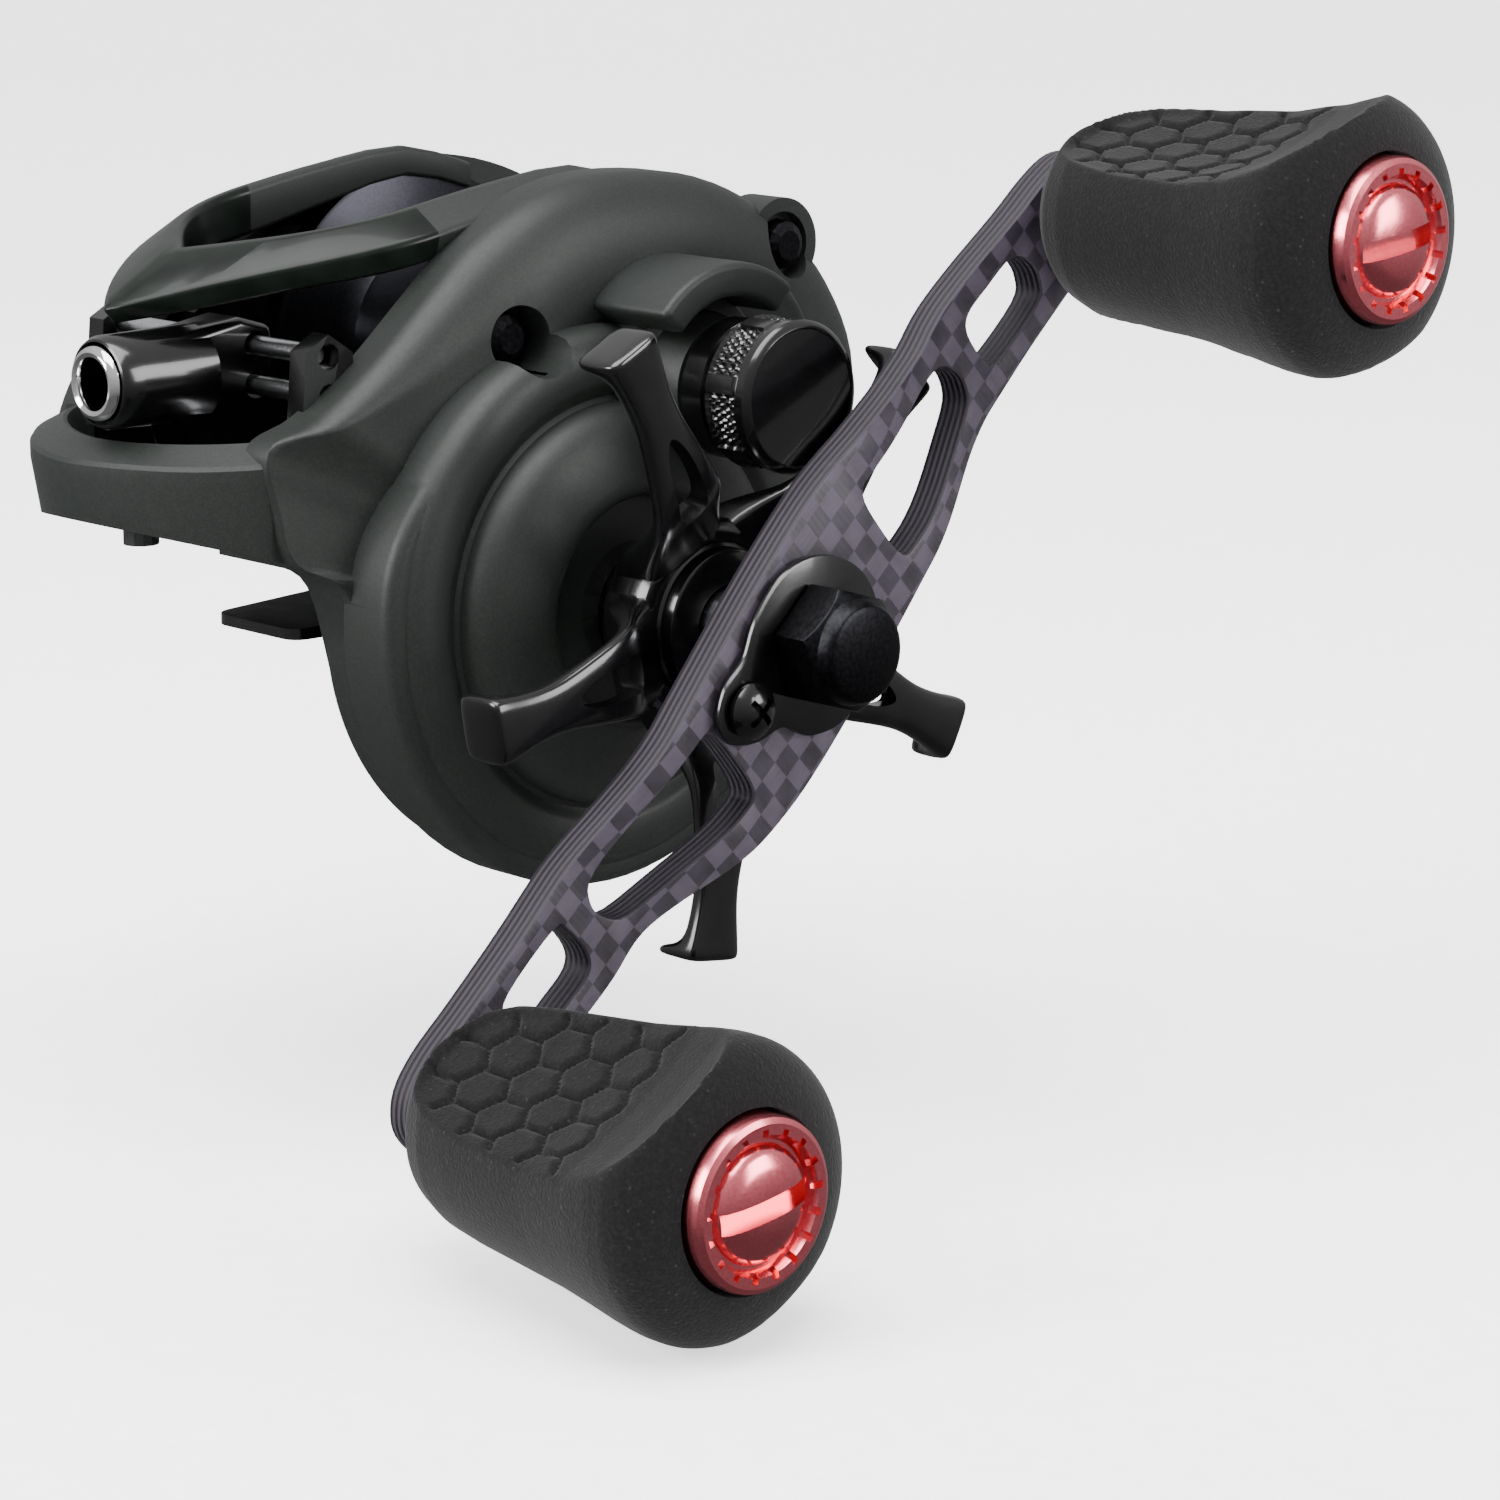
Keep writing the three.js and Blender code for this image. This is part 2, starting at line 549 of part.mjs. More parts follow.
place(spoolAxis, 'spool', spool(), darkSteel);
place(spoolAxis, 'spool_shaft', rod(-23.6, 33.4, SPOOL_SHAFT_RADIUS, 16), steel);
place(spoolAxis, 'palm_side_bearing', tube(-22.6, -20.2, SPOOL_SHAFT_RADIUS + GAP, 4.6, 18), steel);
place(spoolAxis, 'handle_side_bearing', tube(
  WALL_X_HANDLE_SIDE + 0.2, WALL_X_HANDLE_SIDE + FRAME_WALL, 3.9, PINION_BEARING_RADIUS, 18), steel);
place(spoolAxis, 'brake_ring', tube(-19.0, -16.2, 10.4, 12.2, 18), darkSteel);
place(spoolAxis, 'brake_dial', turned([
  [PALM_X_OUTER + 0.7, 0], [PALM_X_OUTER + 0.7, DIAL_RADIUS - 0.6], [PALM_X_OUTER - 0.6, DIAL_RADIUS],
  [PALM_X_OUTER - 1.0, DIAL_RADIUS - 0.8], [PALM_X_OUTER - 1.0, 0]]), glossBlack);

// ---------------------------------------------------------------- pinion and clutch

const PINION_BORE = SPOOL_SHAFT_RADIUS + RUNNING;
const meshAngle = THREE.MathUtils.radToDeg(Math.atan2(SPOOL_Z - DRIVE_Z, SPOOL_Y - DRIVE_Y));

const NECK_X = 14.2; // the teeth start here, so that they stay in mesh while the pinion slides

function pinion() {
  const teeth = prism(
    gearOutline(PINION_TEETH, GEAR_MODULE, meshAngle + 180 + 180 / PINION_TEETH),
    NECK_X, PINION_X[1]);
  const groove = turned([
    [PINION_X[0], 0], [PINION_X[0], 3.2], [12.6, 3.2], [12.9, 2.5], [NECK_X, 2.5], [NECK_X, 0]], 16);
  return cut(join(groove, teeth), rod(0, 40, PINION_BORE, 14));
}

place(spoolAxis, 'pinion', pinion(), brass);

// The yoke's fork holds the pinion's groove; its ends slide on two posts.
function yoke() {
  const fork = [
    [-2.9, -5.4], [-2.9, 0], ...arc(2.9, 2.9, 180, 0, 12).slice(0, 13), [2.9, -5.4],
    [5.6, -5.4], [5.6, 5.2], [-5.6, 5.2], [-5.6, -5.4]];
  return prism(fork.reverse(), 13.2, 13.9);
}

place(spoolAxis, 'clutch_yoke', yoke(), darkSteel);

const BAR_Y = [20.0, 28.2];
const BAR_Z = [24.6, 28.6];
function thumbBar() {
  const side = [
    [BAR_Y[0], BAR_Z[1] - 1.4], [BAR_Y[0] + 1.2, BAR_Z[0]], [BAR_Y[1] - 1.6, BAR_Z[0] - 1.0],
    [BAR_Y[1], BAR_Z[0] + 0.4], [BAR_Y[1] - 1.0, BAR_Z[1] - 0.6], [BAR_Y[0] + 2.6, BAR_Z[1]],
  ];
  return prism(side, WALL_X_PALM_SIDE + RUNNING, WALL_X_HANDLE_SIDE - RUNNING, 0.6);
}

place(assembly, 'thumb_bar', thumbBar(), glossBlack);

// ---------------------------------------------------------------- level wind carriage

ROD_Z.forEach((z, i) => place(
  axisGroup(ROD_Y, z), ['upper_guide_rod', 'lower_guide_rod'][i],
  rod(WALL_X_PALM_SIDE - 1.6, WALL_X_HANDLE_SIDE + 1.6, ROD_RADIUS, 12), steel));

const TUBE_RADII = [2.5, 4.2];
const RING_RADII = [2.2, 3.4];
const RING_DEPTH = 1.6;

function carriage() {
  const h = CARRIAGE_HALF;
  const body = prism([
    [WORM_Y - 3.0, WORM_Z - 2.8], [WORM_Y + 3.4, WORM_Z - 2.8], [ROD_Y + 2.1, 18.0], [ROD_Y + 2.1, 28.4],
    [ROD_Y - 1.5, 29.4], [ROD_Y - 9, 28.2], [ROD_Y - 9, 21.6]], -h, h, 0.8);
  const along = (piece) => piece.rotate([0, 0, -90]).translate([0, 0, GUIDE_Z]);
  return cut(
    join(body, along(rod(36, -GUIDE_Y + 0.6, TUBE_RADII[1], 20))),
    along(rod(20, -GUIDE_Y + 2, TUBE_RADII[0], 18)),
    along(rod(-GUIDE_Y + 0.6 - RING_DEPTH, -GUIDE_Y + 2, RING_RADII[1] + GAP, 18)),
    at(rod(-h - 1, h + 1, WORM_RADIUS + RUNNING, 16), WORM_Y, WORM_Z),
    ...ROD_Z.map((z) => at(rod(-h - 1, h + 1, ROD_RADIUS + RUNNING, 12), ROD_Y, z)));
}

place(assembly, 'line_guide_carriage', carriage(), glossBlack);

function guideRing() {
  const front = -GUIDE_Y + 0.6;
  return turned([
    [front - RING_DEPTH + GAP, RING_RADII[0]], [front - RING_DEPTH + GAP, RING_RADII[1]],
    [front, RING_RADII[1]], [front + 0.7, RING_RADII[1] - 0.5], [front + 0.5, RING_RADII[0] + 0.3]],
  32, true).rotate([0, 0, -90]).translate([0, 0, GUIDE_Z]);
}

place(assembly, 'line_guide_ring', guideRing(), steel);

// ---------------------------------------------------------------- drive shaft and drag

const SHAFT_X = [WALL_X_HANDLE_SIDE - 0.6, 52.5];

place(drive, 'drive_shaft', rod(...SHAFT_X, SHAFT_RADIUS, 18), steel);
place(drive, 'main_gear', prism(
  gearOutline(MAIN_TEETH, GEAR_MODULE, meshAngle), ...GEAR_X, 0,
  [circle(0, 0, SHAFT_RADIUS + GAP, 24)]), brass);

const DRAG_STACK = [
  ['carbon_drag_washer', 0.9, 14.5, carbonWasher],
  ['drag_pressure_plate', 1.0, 14.0, steel],
  ['ratchet_wheel', 0.9, 8.6, darkSteel],
];
DRAG_STACK.reduce((x, [name, thickness, radius, material]) => {
  place(drive, name, tube(x, x + thickness, SHAFT_RADIUS + GAP, radius, 16), material);
  return x + thickness + GAP;
}, GEAR_X[1] + GAP);

place(drive, 'anti_reverse_bearing', tube(22.0, RECESS_X, SHAFT_RADIUS + RUNNING, BEARING_OUTER, 20), steel);
place(drive, 'drag_spring_washer', tube(RECESS_X + 2.2, RECESS_X + 3.6, SHAFT_RADIUS + GAP, 6.0, 18), steel);

// ---------------------------------------------------------------- star drag

const ARM_SECTIONS = [ // [radius, width, inner x, outer x]
  [6.4, 8.6, STAR_X_ROOT, 36.2], [10, 8.2, 33.0, 37.4], [13.2, 7.2, 36.2, 38.8],
  [14.6, 6.4, 39.25, 40.4], [18.5, 4.6, 39.25, 40.9], [22.5, 3.6, 39.25, 41.1],
  [26.2, 4.0, 39.25, 41.2], [28.6, 4.8, 39.25, 41.3], [28.65, 4.8, 36.9, 41.3],
  [29.9, 5.0, 37.2, 41.0],
];
const SLOT_RADII = [12.2, 19.4];
const SLOT_WIDTH = 2.6;

function starArm(angle) {
  const rings = ARM_SECTIONS.map(([radius, width, x0, x1]) => [
    [x0, radius, -width / 2], [x0, radius, width / 2], [x1, radius, width / 2], [x1, radius, -width / 2]]);
  const [a, b] = SLOT_RADII;
  const slot = prism([
    [a, -SLOT_WIDTH / 2], [a + 4, -SLOT_WIDTH / 2], [b, -SLOT_WIDTH / 5], [b, SLOT_WIDTH / 5],
    [a + 4, SLOT_WIDTH / 2], [a, SLOT_WIDTH / 2]], STAR_X_ROOT - 5, HANDLE_X_END + 5);
  return cut(loft(rings), slot).rotate([angle, 0, 0]);
}

function starDrag() {
  const hub = turned([
    [STAR_X_ROOT, 0], [STAR_X_ROOT, STAR_HUB_RADIUS - 1.6], [33, STAR_HUB_RADIUS], [36.4, STAR_HUB_RADIUS],
    [37.2, STAR_HUB_RADIUS - 1.2], [37.4, 7.0], [38.6, 6.6], [38.6, 0]], 18);
  const arms = Array.from({ length: STAR_ARMS }, (_, i) => starArm(STAR_TIP_ANGLE + (360 / STAR_ARMS) * i));
  return cut(join(hub, ...arms), rod(20, 50, SHAFT_RADIUS + RUNNING, 18));
}

place(drive, 'star_drag', starDrag(), glossBlack);

// ---------------------------------------------------------------- handle

// Half of the handle's outline: [distance u, left v, right v, crank share].
const HANDLE_STATIONS = [
  [0, 8.6, -8.6, 1], [8, 9.2, -7.6, 1], [13, 9.0, -6.9, 1], [18, 8.2, -6.2, 0.86], [24, 6.6, -5.5, 0.5],
  [28.5, 5.8, -5.2, 0.2], [33, 6.2, -5.0, 0], [38, 6.0, -4.8, 0], [45, 5.3, -4.8, 0], [50, 5.0, -4.9, 0],
  [53.5, 4.3, -4.3, 0], [55.6, 2.6, -2.6, 0], [56.3, 1.0, -1.0, 0],
];
const BIG_SLOT = [
  [12.8, -4.0], [22, -3.6], [29.0, -2.6], [30.4, 0], [29.0, 3.2], [22, 4.2], [15, 5.2], [12.8, 4.2]];
const SMALL_SLOT = [
  [34.2, -2.6], [41.6, -2.6], [43.4, -0.6], [43.4, 1.6], [41.6, 3.4], [34.6, 3.8], [33.4, 2.4],
  [33.4, -1.4]];
const SPINDLE_RADIUS = 2.4;

const handle = axisGroup(0, 0, drive);
handle.rotation.x = HANDLE_TILT;

function handleArm() {
  const ring = ([u, left, right, share]) => {
    const x0 = HANDLE_X_END + HANDLE_CRANK * share;
    const x1 = x0 + HANDLE_THICKNESS;
    return [[x0, u, right], [x0, u, left], [x1, u, left], [x1, u, right]];
  };
  const mirrored = HANDLE_STATIONS.slice(1).reverse()
    .map(([u, left, right, share]) => [-u, -right, -left, share]);
  const plate = loft([...mirrored, ...HANDLE_STATIONS].map(ring));
  const slots = [BIG_SLOT, SMALL_SLOT].flatMap((slot) => [
    prism(slot, 38, 54), prism(slot.map(([u, v]) => [-u, -v]), 38, 54)]);
  const spindleHoles = [-1, 1].map((side) => at(rod(38, 54, SPINDLE_RADIUS + GAP, 16), side * KNOB_REACH, 0));
  return cut(plate, ...slots, ...spindleHoles,
    rod(38, 54, SHAFT_RADIUS + GAP, 18),
    at(rod(38, 54, RETAINER_SCREW[2] + GAP, 12), RETAINER_SCREW[0], RETAINER_SCREW[1]));
}

const HUB_X_OUTER = HANDLE_X_END + HANDLE_CRANK + HANDLE_THICKNESS;
const RETAINER_SCREW = [-9.3, 2.4, 1.2];
const RETAINER_X = [HUB_X_OUTER + GAP, HUB_X_OUTER + GAP + 0.8];
const NUT_FLATS = 10.0;
const NUT_X = [RETAINER_X[1] + GAP, 54.4, 56.0];

place(handle, 'handle_arm', handleArm(), carbonPlate);

place(handle, 'nut_retainer', cut(
  join(
    rod(...RETAINER_X, 8.0),
    at(rod(...RETAINER_X, 3.5, 18), RETAINER_SCREW[0], RETAINER_SCREW[1]),
    prism([[-9.3, -0.9], [-2, -6.6], [-2, 7.4], [-8.6, 5.6]], ...RETAINER_X)),
  rod(40, 60, SHAFT_RADIUS + GAP, 18),
  at(rod(40, 60, RETAINER_SCREW[2] + GAP, 12), RETAINER_SCREW[0], RETAINER_SCREW[1])), glossBlack);

function handleNut() {
  const hexagon = circle(0, 0, NUT_FLATS / Math.sqrt(3), 6);
  const turnedEnd = turned([
    [40, 0], [40, 6.2], [NUT_X[1] - 0.6, 6.2], [NUT_X[1], 4.9], [NUT_X[2] - 0.5, 4.4],
    [NUT_X[2], 3.9], [NUT_X[2], 0]], 20);
  const body = prism(hexagon, NUT_X[0], NUT_X[2]).intersect(turnedEnd);
  return cut(body, rod(40, 53.0, SHAFT_RADIUS + GAP, 18));
}

place(handle, 'handle_nut', handleNut(), glossBlack);

place(axisGroup(RETAINER_SCREW[0], RETAINER_SCREW[1], handle), 'retainer_screw', turned([
  [46.2, 0], [46.2, RETAINER_SCREW[2]], [RETAINER_X[1] + GAP, RETAINER_SCREW[2]],
  [RETAINER_X[1] + GAP, 2.4], [RETAINER_X[1] + 1.1, 2.3], [RETAINER_X[1] + 1.6, 1.5],
  [RETAINER_X[1] + 1.6, 0]], 16), glossBlack);

// ---------------------------------------------------------------- knobs

const KNOB_X_END = KNOB_X_START + KNOB_LENGTH;
const CAP_X = [KNOB_X_END - 2.2, 82.8];

function knobBody() {
  const x = (share) => KNOB_X_START + KNOB_LENGTH * share;
  const profile = [
    [x(0), 3.1], [x(0), 5.2], [x(0.05), 7.4], [x(0.15), 9.8], [x(0.4), 10.7], [x(0.7), 11.5],
    [x(0.9), 12.2], [x(0.965), 11.4], [x(1), 9.0], [x(1), 7.9], [x(0.93), 7.7],
    [x(0.93), 3.1],
  ];
  return turned(profile, 16, true);
}

function knobCap() {
  const [x0, x1] = CAP_X;
  return turned([
    [x0, 0], [x0, CAP_RADIUS], [x1 - 0.6, CAP_RADIUS], [x1, CAP_RADIUS - 0.7], [x1, 4.6], [x1 - 0.5, 4.3],
    [x1, 4.0], [x1 + 0.3, 0]], 18);
}

function knobSpindle() {
  return turned([
    [HANDLE_X_END - 0.9, 0], [HANDLE_X_END - 0.9, 3.4], [HANDLE_X_END - GAP, 4.0],
    [HANDLE_X_END - GAP, SPINDLE_RADIUS], [CAP_X[0] - 0.8, SPINDLE_RADIUS], [CAP_X[0] - 0.8, 0]], 16);
}

[['front', -1], ['back', 1]].forEach(([where, side]) => {
  const knob = axisGroup(side * KNOB_REACH, 0, handle);
  place(knob, `${where}_knob_spindle`, knobSpindle(), steel);
  place(knob, `${where}_knob`, knobBody(), foam);
  place(knob, `${where}_knob_cap`, knobCap(), pinkAnodised);
});

// ---------------------------------------------------------------- tension knob and screws

place(spoolAxis, 'tension_knob', turned([
  [BOSS_X + 0.4, 3.0], [BOSS_X + 0.4, 6.2], [BOSS_X + 2.6, 6.2], [BOSS_X + 3.0, TENSION_RADIUS],
  [TENSION_X_FACE - 1.0, TENSION_RADIUS], [TENSION_X_FACE, TENSION_RADIUS - 0.9], [TENSION_X_FACE, 0],
  [TENSION_X_FACE - 2, 0], [TENSION_X_FACE - 2, 3.0]], 18, true), glossBlack);

SCREW_PLACES.forEach(([y, z], i) => place(
  axisGroup(y, z), ['front_side_plate_screw', 'rear_side_plate_screw'][i],
  turned([[11.4, 0], [11.4, SCREW_SHANK], [17.1, SCREW_SHANK], [17.1, SCREW_HEAD], [18.4, SCREW_HEAD - 0.2],
    [18.9, SCREW_HEAD - 1], [18.9, 0]], 14), glossBlack));

FOOT_SCREW_Y.forEach((y, i) => place(
  assembly, ['front_foot_screw', 'rear_foot_screw'][i],
  rod(0.2, 4.2, SCREW_SHANK, 12).rotate([0, -90, 0]).translate([0, y, 0]), steel));

export default assembly;
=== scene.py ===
# %% [markdown]
# # A low-profile baitcasting fishing reel
# The reel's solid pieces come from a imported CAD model, which is loaded as a fixed frame. This
# file builds the surfaces that the eye sees round that frame: painted castings, a laminated
# handle, foam knobs and anodised caps. Every length below is in millimetres, and +X is the
# handle side, -Y the nose and +Z up.

# %% Load the frame
import math

import bmesh
import bpy
from mathutils import Matrix, Vector, geometry


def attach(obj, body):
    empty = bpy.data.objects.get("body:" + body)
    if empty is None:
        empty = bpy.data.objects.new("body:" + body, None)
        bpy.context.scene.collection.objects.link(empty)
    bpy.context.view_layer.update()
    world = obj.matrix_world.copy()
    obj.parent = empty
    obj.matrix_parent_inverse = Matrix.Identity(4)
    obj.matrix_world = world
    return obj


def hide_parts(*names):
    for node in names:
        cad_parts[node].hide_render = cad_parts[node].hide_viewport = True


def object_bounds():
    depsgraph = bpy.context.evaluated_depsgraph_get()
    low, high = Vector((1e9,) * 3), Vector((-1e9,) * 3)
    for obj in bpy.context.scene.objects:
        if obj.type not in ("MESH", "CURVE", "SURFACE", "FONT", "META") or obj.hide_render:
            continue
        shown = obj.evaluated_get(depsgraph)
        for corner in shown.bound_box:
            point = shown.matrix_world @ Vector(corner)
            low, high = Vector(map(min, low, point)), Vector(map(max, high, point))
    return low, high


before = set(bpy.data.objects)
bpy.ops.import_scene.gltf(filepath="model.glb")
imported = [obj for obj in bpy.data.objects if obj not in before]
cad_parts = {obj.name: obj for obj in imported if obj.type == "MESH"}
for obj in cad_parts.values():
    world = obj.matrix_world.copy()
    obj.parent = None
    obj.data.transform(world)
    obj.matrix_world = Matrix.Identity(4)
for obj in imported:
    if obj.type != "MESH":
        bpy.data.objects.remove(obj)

cad_box = [list(corner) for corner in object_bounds()]
print("CAD box in metres", cad_box)

MM = 0.001
DRIVE = (-6.5, 3.0)  # y and z of the axis of the handle, star and main gear
SPOOL = (2.2, 22.5)  # y and z of the axis of the spool and tension knob
HANDLE_TILT = math.radians(42.8)  # of the handle above the horizontal
KNOB_REACH = 51.3  # from the drive axis to each knob's axis


# %% [markdown]
# ## Camera
# A long lens keeps the near knob from growing too large beside the body. The camera's place
# and its two angles are all that is needed: it looks straight along its own axis, so there is
# no target object to keep.

# %% Camera
def new_object(name, data):
    obj = bpy.data.objects.new(name, data)
    bpy.context.scene.collection.objects.link(obj)
    return obj


def add_camera(place, azimuth, elevation, lens):
    camera = new_object("camera", bpy.data.cameras.new("camera"))
    camera.location = Vector(place) * MM
    camera.rotation_euler = (math.radians(90 - elevation), 0, math.radians(azimuth))
    camera.data.sensor_width = 36
    camera.data.lens = lens
    camera.data.clip_start = 0.01
    bpy.context.scene.camera = camera


CAMERA_AZIMUTH = 46.4
add_camera((342.06, -292.94, 87.30), CAMERA_AZIMUTH, 12.9, 115.2)


# %% [markdown]
# ## Small tools for node trees
# A material is a network of nodes. One function adds a node, sets its properties and either
# fills or links each of its inputs, so that every material below reads as a short recipe.
# Screen colours are given as sRGB hex values, and the shader needs them in linear light.

# %% Colour and node helpers
def linear(hex_colour):
    channels = [int(hex_colour[i:i + 2], 16) / 255 for i in (1, 3, 5)]
    light = [c / 12.92 if c <= 0.04045 else ((c + 0.055) / 1.055) ** 2.4 for c in channels]
    return (*light, 1.0)


def add_node(tree, kind, inputs=None, **settings):
    node = tree.nodes.new(kind)
    for name, value in settings.items():
        setattr(node, name, value)
    for socket, value in (inputs or {}).items():
        if isinstance(value, bpy.types.NodeSocket):
            tree.links.new(value, node.inputs[socket])
        else:
            node.inputs[socket].default_value = value
    return node


def new_material(name, **surface):
    """A material with its Principled shader; surface holds that shader's own values."""
    material = bpy.data.materials.new(name)
    material.use_nodes = True
    shader = material.node_tree.nodes["Principled BSDF"]
    for socket, value in surface.items():
        shader.inputs[socket.replace("_", " ").title().replace("Ior", "IOR")].default_value = value
    return material, material.node_tree, shader


def object_point(tree):
    """Where a point is on the piece, in metres."""
    return add_node(tree, "ShaderNodeTexCoord").outputs["Object"]


def per_mm(size):
    """A texture scale that gives one feature in each `size` millimetres."""
    return 1 / (size * MM)


def add_noise(tree, point, size, detail=1.0):
    return add_node(tree, "ShaderNodeTexNoise", {
        "Vector": point, "Scale": per_mm(size), "Detail": detail}).outputs["Fac"]


def add_bands(tree, point, width, direction, distortion, detail=2.0):
    """Stripes across one direction; each dark or pale band is about `width` millimetres wide."""
    return add_node(tree, "ShaderNodeTexWave", {
        "Vector": point, "Scale": per_mm(width) / 6.28, "Distortion": distortion, "Detail": detail},
        bands_direction=direction).outputs["Fac"]


def calculated(tree, operation, first, second):
    """The result of a Math node."""
    return add_node(tree, "ShaderNodeMath", {0: first, 1: second}, operation=operation).outputs["Value"]


def add_bump(tree, shader, height, depth, strength=1.0):
    """Relief that is `depth` millimetres high where height is 1."""
    bump = add_node(tree, "ShaderNodeBump", {"Height": height, "Distance": depth * MM, "Strength": strength})
    tree.links.new(bump.outputs["Normal"], shader.inputs["Normal"])


def add_grain(tree, shader, point, size, depth, detail=2.0):
    """A fine random bump: `size` across and about `depth` high, both in millimetres."""
    noise = add_noise(tree, point, size, detail)
    add_bump(tree, shader, noise, depth)
    return noise


def add_tint(tree, shader, factor, dark, pale, low=0.35, high=0.65):
    """Base colour that goes from dark to pale as factor goes from low to high."""
    ramp = add_node(tree, "ShaderNodeValToRGB", {"Fac": factor})
    for element, position, colour in zip(ramp.color_ramp.elements, (low, high), (dark, pale)):
        element.position = position
        element.color = linear(colour)
    tree.links.new(ramp.outputs["Color"], shader.inputs["Base Color"])


def speckled(name, dark, pale, size, depth, detail=2.0, **surface):
    """A material whose colour and relief follow one fine noise."""
    material, tree, shader = new_material(name, **surface)
    marks = add_grain(tree, shader, object_point(tree), size, depth, detail)
    add_tint(tree, shader, marks, dark, pale)
    return material, tree, shader, marks


def add_roughness(tree, shader, factor, smooth, rough):
    spread = add_node(tree, "ShaderNodeMapRange", {
        "Value": factor, "To Min": smooth, "To Max": rough})
    tree.links.new(spread.outputs["Result"], shader.inputs["Roughness"])


# %% [markdown]
# ## Painted castings
# The body is cast magnesium under a thin matte enamel. Sprayed enamel leaves a faint texture
# like orange peel, about half a millimetre across, with finer matting grit in it. The grit is
# what turns the highlights soft and grey, so the roughness carries it as well as the bump.
# Alternatives are a plain grey with high roughness, which looks like paper, or an image of real
# paint. Two noise textures at real sizes give the sparkle without any image.

# %% Matte enamel
def matte_enamel():
    material, tree, shader = new_material("matte_enamel", ior=1.5, specular_ior_level=0.3)
    point = object_point(tree)
    peel = add_grain(tree, shader, point, 0.45, 0.006)
    grit = add_noise(tree, point, 0.2)
    add_tint(tree, shader, grit, "#131614", "#1A1E1B", 0.4, 0.7)
    add_roughness(tree, shader, peel, 0.42, 0.56)
    return material


MATTE_ENAMEL = matte_enamel()


# %% [markdown]
# ## Gloss enamel
# The hood has a lacquer with a trace of green and little shine. The foot, guide, star wheel and
# tension knob have a black one with more. A clear coat over a slightly rough dark base gives
# two reflections, one sharp and one soft. Wide, shallow waves in the coat bend them.

# %% Gloss enamel
def gloss_enamel(name, dark, pale, roughness, shine):
    return speckled(
        name, dark, pale, 3.0, 0.02, 1.0, ior=1.5, coat_weight=shine / 2, coat_roughness=0.06,
        specular_ior_level=shine, roughness=roughness)[0]


HOOD_LACQUER = gloss_enamel("hood_lacquer", "#050906", "#0B110D", 0.3, 0.16)
BLACK_LACQUER = gloss_enamel("black_lacquer", "#020202", "#050506", 0.2, 0.5)


# %% [markdown]
# ## Carbon laminate
# The handle is cut by a router from a plate of woven carbon in resin. Its faces show a plain
# weave of flat tows, each crossing about two millimetres wide, and the two thread directions
# take the light differently. A checker of two greys in the handle's own directions gives the
# crossings, and fine lines inside each check show the fibres. The cut edges show the stacked
# plies as thin stripes, so the edges get a second material, whose stripes follow the plate's
# own thickness through a UV map and so bend where the plate bends.

# %% Carbon face and carbon edge
TOW = 2.1  # width of one crossing
PLY = 0.34  # thickness of one layer


def handle_point(tree):
    """Object coordinates turned to run along the handle: x out, y along it, z across it."""
    return add_node(tree, "ShaderNodeMapping", {
        "Vector": object_point(tree), "Rotation": (-HANDLE_TILT, 0, 0)}, vector_type="POINT").outputs["Vector"]


def carbon_face():
    material, tree, shader = new_material("carbon_weave", ior=1.5, specular_ior_level=0.35)
    point = handle_point(tree)
    squares = add_node(tree, "ShaderNodeTexChecker", {
        "Vector": add_node(tree, "ShaderNodeVectorMath", {
            0: point, 1: (0, 1, 1)}, operation="MULTIPLY").outputs["Vector"],
        "Scale": per_mm(TOW), "Color1": (1, 1, 1, 1), "Color2": (0, 0, 0, 1)})
    wander = add_noise(tree, point, 2.4)
    along, across = (add_bands(tree, point, 0.3, direction, 1.0) for direction in "YZ")
    fibres = add_node(tree, "ShaderNodeMix", {
        "Factor": squares.outputs["Fac"], "A": along, "B": across})
    level = calculated(
        tree, "ADD", squares.outputs["Fac"], calculated(tree, "MULTIPLY", wander, 1.1))
    share = add_node(tree, "ShaderNodeMapRange", {"Value": level, "From Max": 2.0})
    add_tint(tree, shader, share.outputs["Result"], "#1F1B21", "#3C3541", 0.1, 0.9)
    add_roughness(tree, shader, squares.outputs["Fac"], 0.4, 0.55)
    add_bump(tree, shader, fibres.outputs["Result"], 0.01, 0.6)
    return material


def carbon_edge():
    material, tree, shader = new_material("carbon_edge", ior=1.5, specular_ior_level=0.3)
    point = add_node(tree, "ShaderNodeTexCoord").outputs["UV"]
    plies = add_bands(tree, point, PLY, "Y", 0.25, 1.0)
    add_tint(tree, shader, plies, "#0F0D10", "#2C2730", 0.2, 0.8)
    add_roughness(tree, shader, plies, 0.5, 0.75)
    add_bump(tree, shader, plies, 0.03, 0.8)
    return material


CARBON_WEAVE = carbon_face()
CARBON_EDGE = carbon_edge()


# %% [markdown]
# ## Foam
# The knobs are turned from closed-cell EVA foam. A cut through the cells leaves tiny pits, a
# third of a millimetre across, and pale specks where a cell wall catches the light. The foam
# has no shine, only a soft glow at grazing angles, which the sheen gives.

